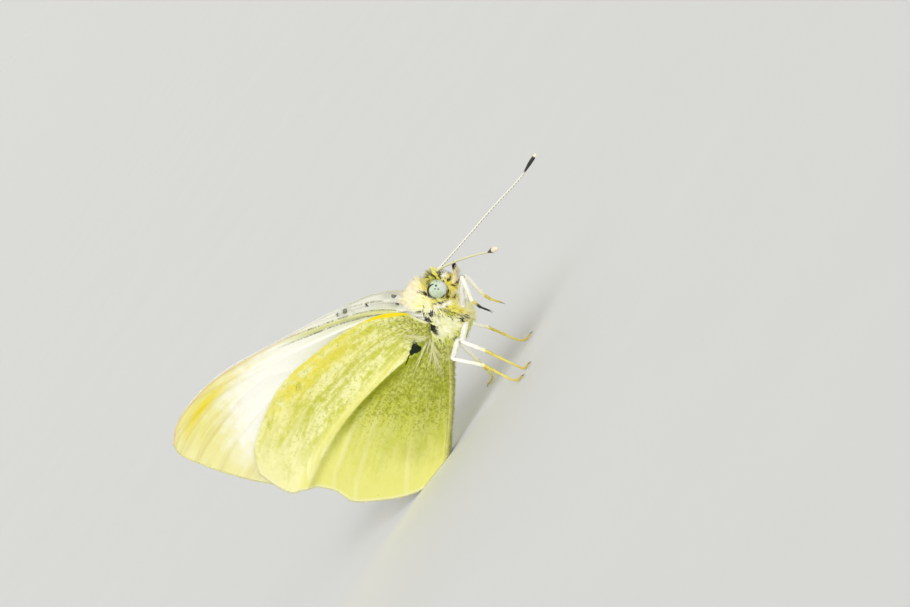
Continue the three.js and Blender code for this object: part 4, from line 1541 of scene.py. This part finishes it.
# %% Joints of the legs
HIPS = {"front": [1.2, 0.45, -0.8], "mid": [0.9, 0.8, -1.6], "hind": [-0.5, 0.8, -1.5]}  # body axes
BREAST_ENTRY = [1.95, 0.5, -0.85]
LEGS = {  # knee, shin end and foot in floor axes, from the point below the chest
    "front_right": [[4.75, 1.45, 8.5], [3.75, 1.9, 6.75], [3.72, 2, 6], [3.95, 2.1, 5.15]],
    "front_left": [[3.8, 1.5, 7.9], [3.1, 2, 5.7], [3.1, 2.1, 5], [3.35, 2.2, 4.1]],
    "mid_right": [[0.45, 2.4, 5.4], [1.35, 3.3, 3.6], [1.7, 3.5, 2], [1.95, 3.6, 0.85],
                  [2.15, 3.65, 0.22], [2.75, 3.75, 0.19]],
    "mid_left": [[-0.1, 2.5, 5.5], [0.3, 3.5, 3.5], [0.5, 3.8, 1.9], [0.7, 4, 0.7],
                 [1, 4.15, 0.22], [1.6, 4.35, 0.19]],
    "hind_right": [[-1.2, 2.6, 5.15], [0.45, 3.8, 2.95], [0.8, 4.2, 1.6], [1.1, 4.5, 0.6],
                   [1.4, 4.65, 0.22], [2, 4.85, 0.19]],
    "hind_left": [[-2, 2.8, 5], [-2.9, 4, 2.4], [-3.3, 4.4, 1.2], [-3.6, 4.65, 0.45],
                  [-4, 4.85, 0.22], [-4.6, 5.05, 0.19]],
}


def is_front(name):
    return name.startswith("front")


def leg_places(name):
    """Hip, then knee, shin end and foot points, in metres."""
    pair, side = name.split("_")
    floor = (sided(LEGS[name], SIDES[side]) + CHEST * [1, 1, 0]) * MM
    return np.vstack((from_body(sided(HIPS[pair], SIDES[side])), floor))


def leg_entry(name):
    """Where a thigh comes out of the coat: for the front legs, in the middle of the breast."""
    hip, knee = leg_places(name)[:2]
    if not is_front(name):
        return hip + 0.25 * (knee - hip)
    return from_body(sided(BREAST_ENTRY, SIDES[name.split("_")[1]]))[0]


print("length of the right middle leg, mm:",
      round(np.linalg.norm(np.diff(leg_places("mid_right"), axis=0), axis=1).sum() / MM, 1))


# %% Finish of the legs
def make_leg_finish(name, start, end, line, black_end=0.0):
    """From one colour to another along the part; line is how dark its underside is drawn, and
    black_end how black its far half."""
    finish = Finish(name)
    share, under = finish.reading("share"), finish.reading("under")
    place = finish.place()
    grain = finish.noise(place, 8.0, 3.0, 0.6)
    fleck = finish.noise(place, 20.0, 2.0)
    colour = finish.mix(share.rise(0.35, 1.0), start, end)
    colour = finish.mix(grain.rise(0.4, 0.7) * 0.3, colour, paint(206, 198, 128))
    colour = finish.mix((under + grain * 0.5).rise(0.95, 1.2) * line, colour, paint(70, 60, 30))
    colour = finish.mix((share + grain * 0.2).rise(0.5, 0.65) * black_end, colour, paint(30, 32, 16))
    height = fleck * 0.6 + grain * 0.4
    # The glow of 0.15 is painted light on the legs.
    return finish.shade(colour, 0.55, 0.15, Specular_IOR_Level=0.3, Normal=finish.bump(height, 0.02))


LEG_FINISHES = {
    "thigh": make_leg_finish("leg_thigh", paint(244, 243, 236), paint(248, 246, 232), 0.5),
    "shin": make_leg_finish("leg_shin", paint(248, 247, 236), paint(240, 232, 168), 0.6),
    "foot": make_leg_finish("leg_foot", paint(228, 218, 104), paint(196, 168, 50), 0.4),
    "held_foot": make_leg_finish("leg_dark_foot", paint(224, 214, 100), paint(150, 140, 40), 0.4, 1.0),
    "claw": plain_finish("claw", paint(40, 30, 16), paint(16, 12, 8), 0.3),
}
print("finishes of the legs:", list(LEG_FINISHES))

# %% Thighs, shins and feet
def add_claws(name, route, finish):
    forward = unit(route[-1] - route[-4])
    down = np.array([0, 0, -1.0])
    beside = unit(np.cross(forward, [0, 0, 1.0]))
    for which, spread in (("a", -1), ("b", 1)):
        t = np.linspace(0, 1, 10)[:, None]
        line = route[-1] + MM * (0.3 * t * forward + spread * 0.12 * t * beside + 0.1 * t**2 * down)
        line[:, 2] = np.maximum(line[:, 2], FLOOR_GAP)
        add_tube(f"claw_{name}_{which}", line, 0.035 * (1 - 0.8 * t[:, 0]), finish, sides=6)


def foot_course(places):
    """A foot's five swollen joints: its route, kept off the floor, and its radii."""
    share = np.linspace(0, 1, 90)
    route = curve_at(places[2:], share)
    joints = np.abs(np.sin(math.pi * 5 * share))
    radii = 0.1 - 0.025 * share + 0.014 * (1 - joints) ** 2
    route[:, 2] = np.maximum(route[:, 2], radii * MM)
    return route, radii


def add_leg(name):
    places = leg_places(name)
    hip, knee, ankle = places[:3]
    t = np.linspace(0, 1, 26)
    inner = hip + (hip - knee) * 0.12
    route = curve_at([inner, leg_entry(name), knee], np.interp(t, [0, 0.25, 1], [0, 0.5, 1]))
    radii = 0.16 + 0.1 * np.exp(-((t - 0.25) / 0.35) ** 2) + 0.02 * smooth(t, 0.85, 1.0)
    add_tube(f"thigh_{name}", route, radii, LEG_FINISHES["thigh"], [f"leg_{name}_femur"])
    radii = (0.15 if is_front(name) else 0.135) + 0.02 * np.exp(-((t - 0.3) / 0.3) ** 2)
    radii = radii + 0.02 * smooth(t, 0.85, 1.0)
    route = knee + t[:, None] * (ankle - knee)
    add_tube(f"shin_{name}", route, radii, LEG_FINISHES["shin"], [f"leg_{name}_tibia"])
    route, radii = foot_course(places)
    foot = LEG_FINISHES["held_foot" if name == "front_right" else "foot"]
    add_tube(f"foot_{name}", route, radii, foot, [f"leg_{name}_tarsus"])
    add_claws(name, route, LEG_FINISHES["claw"])


for name in LEGS:
    add_leg(name)
print("legs added:", len(LEGS))

# %% [markdown]
# ## Palps and tongue
# Two hairy palps stand up in front of the face and guard the tongue, which is coiled between them
# like a watch spring. The hairs are what one sees: yellow ones along the stalk, a pale beard below
# and a pointed black tip.

# %% Palps
PALP_ROOT, PALP_TIP = (0.75, 0.3, -0.85), (2.2, 0.22, -0.35)
TONGUE_CENTRE = (1.0, 0, -1.0)


def palp_line(side, share):
    """Places on the middle of a palp, from its root to its tip, in head axes."""
    root, tip = sided(PALP_ROOT, side), sided(PALP_TIP, side)
    bow = np.sin(math.pi * share)[:, None] * [0.04, 0, -0.12]
    return root + share[:, None] * (tip - root) + bow


def add_palps():
    finish = plain_finish("palp_stalk", paint(236, 214, 110), paint(206, 172, 66), 0.6)
    share = np.linspace(0, 1, 30)
    radii = 0.13 - 0.09 * share + 0.01 * np.cos(6 * math.pi * share)
    for name, side in SIDES.items():
        route = from_body(head_to_body(palp_line(side, share)))
        add_tube(f"stalk_palp_{name}", route, radii, finish, [f"palp_{name}"])


def make_bristle_finish():
    finish = Finish("palp_bristles")
    shade, tip, share = (finish.reading(key) for key in ("shade", "tip", "share"))
    below = finish.reading("below")
    colour = finish.mix(shade, paint(250, 222, 100), paint(255, 246, 190))
    colour = finish.mix(below * 0.8, colour, paint(255, 250, 226))
    black = (share + shade * 0.2).rise(0.8, 0.86)
    colour = finish.mix(black, colour, paint(20, 18, 14))
    colour = finish.mix(shade.rise(0.93, 0.94), colour, paint(44, 36, 20))
    colour = finish.mix(tip.rise(0.4, 0.0) * 0.2, colour, paint(200, 170, 80))
    # The glow of 0.2 is painted light in the palp bristles.
    return finish.shade(colour, 0.5, 0.2)


def add_bristles():
    finish = make_bristle_finish()
    rng = np.random.default_rng(31)
    count = 2200
    for name, side in SIDES.items():
        share = rng.random(count) ** 0.85
        around = rng.uniform(0, 2 * math.pi, count)
        axis = unit(sided(PALP_TIP, side) - sided(PALP_ROOT, side))
        beside = np.array([0, 1.0, 0])
        under = unit(np.cross(axis, beside))
        out = np.cos(around)[:, None] * beside + np.sin(around)[:, None] * under
        below = np.clip(np.sign(under[2]) * -np.sin(around), 0, 1)
        roots = palp_line(side, share) + out * (0.14 - 0.08 * share)[:, None] * 0.8
        long = (0.2 + 0.6 * below * (1 - share) ** 1.3 + 0.06 * share) * rng.uniform(0.7, 1.2, count)
        heading = unit(axis * (0.8 + 1.4 * share)[:, None]
                       + out * (0.2 - 0.17 * share + 0.6 * below * (1 - share))[:, None]
                       + 0.12 * rng.normal(size=(count, 3)))
        t = np.linspace(0, 1, 4)[None, :, None]
        lines = roots[:, None] + long[:, None, None] * (t * heading[:, None] + 0.15 * t**2 * axis)
        lines = from_body(head_to_body(lines.reshape(-1, 3))).reshape(count, 4, 3)
        widths = (0.05 - 0.015 * share) * MM * rng.uniform(0.7, 1.2, count)
        patches = np.column_stack((0.05 + 0.9 * share, 0.05 + 0.9 * around / (2 * math.pi)))
        ups = in_floor_axes(out)
        add_strands(f"bristles_palp_{name}", strand_mesh(lines, ups, widths, patches), finish,
                    {"shade": rng.random(count), "share": share, "below": below})


add_palps()
add_bristles()

# %% Tongue
def add_tongue():
    finish = Finish("tongue")
    length = finish.reading("length")
    grain = finish.noise(finish.place(), 8.0, 3.0)
    rings = finish.node("Math", {"operation": "FRACT"}, {0: length * 9.0}).near(0.5, 0.4)
    colour = finish.mix(grain, paint(150, 100, 40), paint(196, 150, 70))
    material = finish.shade(colour, 0.35, Normal=finish.bump(rings, 0.015))
    turn = np.linspace(0, 2.4 * 2 * math.pi, 150)
    out = 0.1 + 0.26 * turn / turn[-1]
    angle = turn + math.radians(200)
    coil = np.column_stack((out * np.cos(angle), 0 * turn, out * np.sin(angle))) + TONGUE_CENTRE
    root = np.array([0.8, 0, -0.75])
    lead = coil[-1] + np.linspace(0.08, 1, 12)[:, None] * (root - coil[-1])
    route = from_body(head_to_body(np.vstack((coil, lead))))
    radii = np.append(0.03 + 0.035 * turn / turn[-1], np.full(12, 0.07))
    add_tube("coil_tongue", route, radii, material, ["proboscis"], sides=10)


add_tongue()
print("tongue coiled")

# %% [markdown]
# ## Hairs on the wings
# Long pale hairs spread like a fan from the hinge over the base of the hindwing, and every margin
# has a fringe of tiny hair-scales. Both are laid along the wing's own surface, so they never float.

# %% Hair fan at the hinge
def make_wing_hair(name, low, high):
    finish = Finish(name)
    shade, tip = finish.reading("shade"), finish.reading("tip")
    colour = finish.mix(shade, low, high)
    colour = finish.mix(tip.rise(0.3, 0.0) * 0.3, colour, paint(190, 184, 90))
    return finish.shade(colour, 0.55)


wing_hair = make_wing_hair("wing_hair", paint(240, 238, 140), paint(255, 252, 206))


def on_hindwing(x, z, side, above):
    """Places in metres that lie above the hindwing by so many millimetres, or on the flank."""
    away = np.maximum(hindwing_lie(x, z), flank(x, z) + 0.12) + 0.1 + above
    return from_body(np.column_stack((x, side * away, z)))


FAN_RAYS = [122, 128, 134, 142, 176, 187, 197, 206, 215, 225, 236]  # headings, clear of the painted crease shadow


def fan_hairs(rng, ray):
    """Roots, lengths, headings and curls of hairs, each bound to a ray of the fan."""
    rays, count = len(FAN_RAYS), len(ray)
    upper = ray < 4  # these rays start above the painted crease shadow, the others below it
    shift = rng.normal(size=(2, rays)) * 0.16
    x0 = -1.15 + shift[0, ray] + 0.05 * rng.normal(size=count) + np.where(upper, 0.1, -0.15)
    z0 = 0.7 + shift[1, ray] + 0.05 * rng.normal(size=count) + np.where(upper, 0.25, -0.2)
    heading = np.radians(np.array(FAN_RAYS)[ray] + 2.2 * rng.normal(size=count))
    long = rng.uniform(1.6, 4.6, rays)[ray] * rng.uniform(0.45, 1.0, count)
    curl = np.radians(9 * rng.normal(size=rays))[ray] + np.radians(3 * rng.normal(size=count))
    return x0, z0, long, heading, curl


def add_hinge_fan(per_ray=13, steps=6):
    rng = np.random.default_rng(41)
    ray = np.repeat(np.arange(len(FAN_RAYS)), per_ray)
    count = len(ray)
    t = np.linspace(0, 1, steps)
    for name, side in SIDES.items():
        x0, z0, long, heading, curl = fan_hairs(rng, ray)
        bend = heading[:, None] + curl[:, None] * t
        x = x0[:, None] + long[:, None] * t * np.cos(bend)
        z = z0[:, None] + long[:, None] * t * np.sin(bend)
        lift = (0.02 + 0.2 * rng.random(count))[:, None] * np.sin(math.pi * t) ** 0.7
        lines = on_hindwing(x.ravel(), z.ravel(), side, lift.ravel()).reshape(count, steps, 3)
        ups = np.tile([0.0, side, 0.0], (count, 1))
        widths = 0.034 * MM * rng.uniform(0.6, 1.3, count)
        patches = np.column_stack((0.5 + 0.25 * (x0 + 0.95), 0.5 + 0.35 * (z0 - 0.85)))
        strands = strand_mesh(lines, ups, widths, np.clip(patches, 0.01, 0.99))
        add_strands(f"fan_{name}", strands, wing_hair, {"shade": rng.random(count)})


add_hinge_fan()

# %% Fringes
FRINGES = [  # wing, edge, number of hair-scales, their length, seed
    ("forewing", "outer", 1500, 0.16, 51), ("forewing", "front", 1400, 0.07, 52),
    ("hindwing", "outer", 1800, 0.16, 53), ("hindwing", "rear", 2200, 0.45, 54),
]


def add_fringe(pair, edge, side, name, count, long, seed, finish):
    """Hair-scales along one edge of a wing, pointing outwards in the wing's own plane."""
    outline, _, lie = WINGS[pair][:3]
    rng = np.random.default_rng(seed)
    share = np.sort(rng.random(count))
    centre = patch(outline, np.array([0.5]), np.array([0.5]))[0]
    roots = curve_at(outline[edge], share)
    ahead = unit(curve_at(outline[edge], share + 0.004) - curve_at(outline[edge], share - 0.004))
    out = np.column_stack((ahead[:, 1], -ahead[:, 0]))
    out *= np.sign(np.sum((roots - centre) * out, axis=1))[:, None]
    back = unit(roots - np.array(HINGE))
    heading = unit(0.75 * out + 0.45 * back + 0.18 * rng.normal(size=out.shape))
    t = np.linspace(0, 1, 4)[None, :, None]
    reach = (long * rng.uniform(0.6, 1.25, count))[:, None, None]
    flat = (roots - 0.06 * out)[:, None] + t * reach * heading[:, None]
    x, z = flat.reshape(-1, 2).T
    away = lie(x, z).reshape(count, 4) + 0.05 * rng.normal(size=(count, 1)) * t[..., 0]
    lines = from_body(np.column_stack((x, side * away.ravel(), z))).reshape(count, 4, 3)
    lines[..., 2] = np.maximum(lines[..., 2], FLOOR_GAP)
    widths = 0.06 * MM * rng.uniform(0.7, 1.2, count)
    patches = np.column_stack((0.03 + 0.94 * share, rng.uniform(0.1, 0.9, count)))
    ups = np.tile([0.0, side, 0.0], (count, 1))
    strands = strand_mesh(lines, ups, widths, patches, "scale", 0.35)
    add_strands(f"fringe_{pair}_{edge}_{name}", strands, finish,
                {"shade": rng.random(count)}, leaning=False)


def add_fringes():
    olive_hair = make_wing_hair("rear_fringe", paint(214, 214, 90), paint(242, 240, 160))
    for name, side in SIDES.items():
        for pair, edge, count, long, seed in FRINGES:
            finish = olive_hair if edge == "rear" else wing_hair
            add_fringe(pair, edge, side, name, count, long, seed, finish)


add_fringes()

# %% [markdown]
# ## Scales on the legs
# Under a lens the legs are shaggy: white scales lie along them, with a few that stand off, and two
# spurs stand at the end of each hind and middle shin. The front thighs leave the breast through a
# tuft of longer hair. All are laid along straight stretches, so one helper makes any of them.

# %% Leg scales and spurs
def make_leg_hair_finish():
    finish = Finish("leg_hair")
    shade, foot = finish.reading("shade"), finish.reading("foot")
    colour = finish.mix(shade, paint(252, 250, 226), paint(255, 255, 248))
    amber = finish.mix(shade, paint(236, 226, 110), paint(200, 172, 60))
    colour = finish.mix(foot, colour, amber)
    colour = finish.mix(finish.reading("end").rise(0.4, 0.7), colour, paint(40, 42, 20))
    # The glow of 0.18 is painted light in the leg hairs.
    return finish.shade(colour, 0.5, 0.18)


def hairs_along(rng, start, end, radius, length, count):
    """Short hairs round a straight stretch: lines, ups, widths, and where each one is rooted."""
    axis = unit(end - start)
    one = unit(np.cross(axis, [0.2, 0.1, 1.0]))
    two = np.cross(axis, one)
    share = rng.uniform(0.05, 0.98, count)
    around = rng.uniform(0, 2 * math.pi, count)
    out = np.cos(around)[:, None] * one + np.sin(around)[:, None] * two
    roots = start + share[:, None] * (end - start) + out * radius * 0.9 * MM
    heading = unit(axis + out * rng.uniform(0.05, 0.25, count)[:, None])
    long = length * MM * rng.uniform(0.7, 1.2, count)
    t = np.linspace(0, 1, 4)[None, :, None]
    lines = roots[:, None] + t * long[:, None, None] * heading[:, None]
    return lines, out, 0.05 * MM * rng.uniform(0.7, 1.2, count), share, around


def stretches_of(name):
    """Start, end, radius, hair length and number of hairs for thigh, shin, foot and tuft."""
    knee, ankle, sole = leg_places(name)[1:4]
    entry = leg_entry(name)
    parts = [(entry, knee, 0.25, 0.2, 340), (knee, ankle, 0.18 if is_front(name) else 0.15, 0.2, 340),
             (ankle, sole, 0.1, 0.2, 340)]
    if is_front(name):
        along = knee - entry
        parts.append((entry - 0.03 * along, entry + 0.1 * along, 0.3, 0.6, 150))
    return parts


def add_leg_hair():
    rng = np.random.default_rng(61)
    rows = []
    for row, name in enumerate(LEGS):
        for part, stretch in enumerate(stretches_of(name)):
            lines, ups, widths, share, around = hairs_along(rng, *stretch)
            patches = ((part + share) / 4.2 + 0.03, (row + around / 6.3) / 6.2 + 0.01)
            foot = np.full(len(share), float(part == 2))
            end = share * foot * (name == "front_right")
            rows.append((lines, ups, widths, np.column_stack(patches), foot, end))
    lines, ups, widths, patches, feet, ends = (np.concatenate(column) for column in zip(*rows))
    lines[..., 2] = np.maximum(lines[..., 2], FLOOR_GAP)
    strands = strand_mesh(lines, ups, widths, patches, "scale", 0.35)
    add_strands("coat_legs", strands, make_leg_hair_finish(),
                {"shade": rng.random(len(lines)), "foot": feet, "end": ends})


def add_spurs():
    finish = plain_finish("spur", paint(236, 226, 160), paint(190, 164, 90), 0.4)
    for name in LEGS:
        if is_front(name):
            continue
        places = leg_places(name)
        axis = unit(places[2] - places[1])
        beside = unit(np.cross(axis, [0, 0, 1.0]))
        for which, spread in (("a", -1), ("b", 1)):
            t = np.linspace(0, 1, 8)[:, None]
            start = places[2] - axis * 0.1 * MM
            line = start + MM * t * (0.42 * axis + spread * 0.22 * beside)
            add_tube(f"spur_{name}_{which}", line, 0.04 * (1 - 0.75 * t[:, 0]), finish, sides=6)


add_leg_hair()
add_spurs()

# %% [markdown]
# ## Floor, light and camera
# The butterfly stands on a pale floor that runs on as the background. A large soft lamp above the
# camera's side gives the veins and the fold their light side and shade, and the pale world fills
# the rest, so that a colour renders about as it is written. The camera is rolled, so that the
# animal climbs to the upper right as it does on a leaf.

# %% Pale floor
FLOOR_SHADE = paint(220, 220, 217)


def add_floor():
    finish = Finish("pale_floor")
    grain = finish.noise(finish.place(), 0.05, 3.0)
    colour = finish.mix(grain, paint(218, 218, 214), paint(222, 222, 219))
    material = finish.shade(colour, 0.9)
    reach = 20.0  # metres, so that its edge is never seen
    mesh = bpy.data.meshes.new("floor")
    corners = [(x * reach, y * reach, 0) for x, y in ((-1, -1), (1, -1), (1, 1), (-1, 1))]
    mesh.from_pydata(corners, [], [(0, 1, 2, 3)])
    mesh.materials.append(material)
    floor = bpy.data.objects.new("floor", mesh)
    bpy.context.scene.collection.objects.link(floor)
    print("floor:", 2 * reach, "metres wide")


add_floor()

# %% Soft lamps and world
from mathutils import Matrix, Vector


def add_lamp(name, direction, softness, strength):
    """A far lamp that shines from a direction; softness is the angle that it fills, in degrees."""
    data = bpy.data.lights.new(name, "SUN")
    data.angle, data.energy = math.radians(softness), strength
    lamp = bpy.data.objects.new(name, data)
    lamp.rotation_euler = Vector(direction).to_track_quat("Z", "Y").to_euler()
    bpy.context.scene.collection.objects.link(lamp)


def light_world(strength):
    """An even white room; the camera sees it in the shade of the floor."""
    world = bpy.data.worlds.new("pale_room")
    bpy.context.scene.world = world
    world.use_nodes = True
    nodes, links = world.node_tree.nodes, world.node_tree.links
    room, seen = nodes["Background"], nodes.new("ShaderNodeBackground")
    room.inputs["Color"].default_value = (1.0, 1.0, 1.0, 1.0)
    room.inputs["Strength"].default_value = strength
    seen.inputs["Color"].default_value = FLOOR_SHADE
    rays, pick = nodes.new("ShaderNodeLightPath"), nodes.new("ShaderNodeMixShader")
    reached = rays.outputs["Is Camera Ray"]
    for other in ("Is Glossy Ray", "Is Transmission Ray"):  # the same in mirrors and through glass
        total = nodes.new("ShaderNodeMath")
        total.operation, total.use_clamp = "ADD", True
        links.new(reached, total.inputs[0])
        links.new(rays.outputs[other], total.inputs[1])
        reached = total.outputs[0]
    links.new(reached, pick.inputs[0])
    links.new(room.outputs[0], pick.inputs[1])
    links.new(seen.outputs[0], pick.inputs[2])
    links.new(pick.outputs[0], nodes["World Output"].inputs["Surface"])


add_lamp("key", (0.1, -0.7, 0.7), 35, 1.4)
add_lamp("front", (0.8, -0.6, 0.05), 50, 1.1)
add_lamp("back", (-0.5, 0.7, 0.5), 60, 0.5)
light_world(0.5)

# %% Camera
VIEW_TURN, VIEW_RISE, VIEW_ROLL = 23, 8, 55.5  # degrees
VIEW_SHIFT = (0.82, 1.52)  # how far it aims to the right of the chest and above it, in millimetres
VIEW_DISTANCE, VIEW_LENS = 0.3, 144.8  # metres, millimetres


def add_camera():
    turn, rise, roll = (math.radians(angle) for angle in (VIEW_TURN, VIEW_RISE, VIEW_ROLL))
    towards = Vector((math.sin(turn) * math.cos(rise), -math.cos(turn) * math.cos(rise),
                      math.sin(rise)))
    level = Vector((math.cos(turn), math.sin(turn), 0))
    upright = towards.cross(level)
    right = math.cos(roll) * level - math.sin(roll) * upright
    up = math.sin(roll) * level + math.cos(roll) * upright
    aim = Vector(CHEST * MM) + (VIEW_SHIFT[0] * right + VIEW_SHIFT[1] * up) * MM
    place = aim + towards * VIEW_DISTANCE
    data = bpy.data.cameras.new("camera")
    data.lens, data.sensor_width = VIEW_LENS, 36.0
    data.clip_start, data.clip_end = 0.001, 20.0
    camera = bpy.data.objects.new("camera", data)
    axes = Matrix((right, up, towards)).transposed().to_4x4()
    camera.matrix_world = Matrix.Translation(place) @ axes
    bpy.context.scene.collection.objects.link(camera)
    bpy.context.scene.camera = camera
    print("camera height above the floor, mm:", round(place.z / MM, 1))


add_camera()
bpy.context.scene.view_settings.view_transform = "Standard"
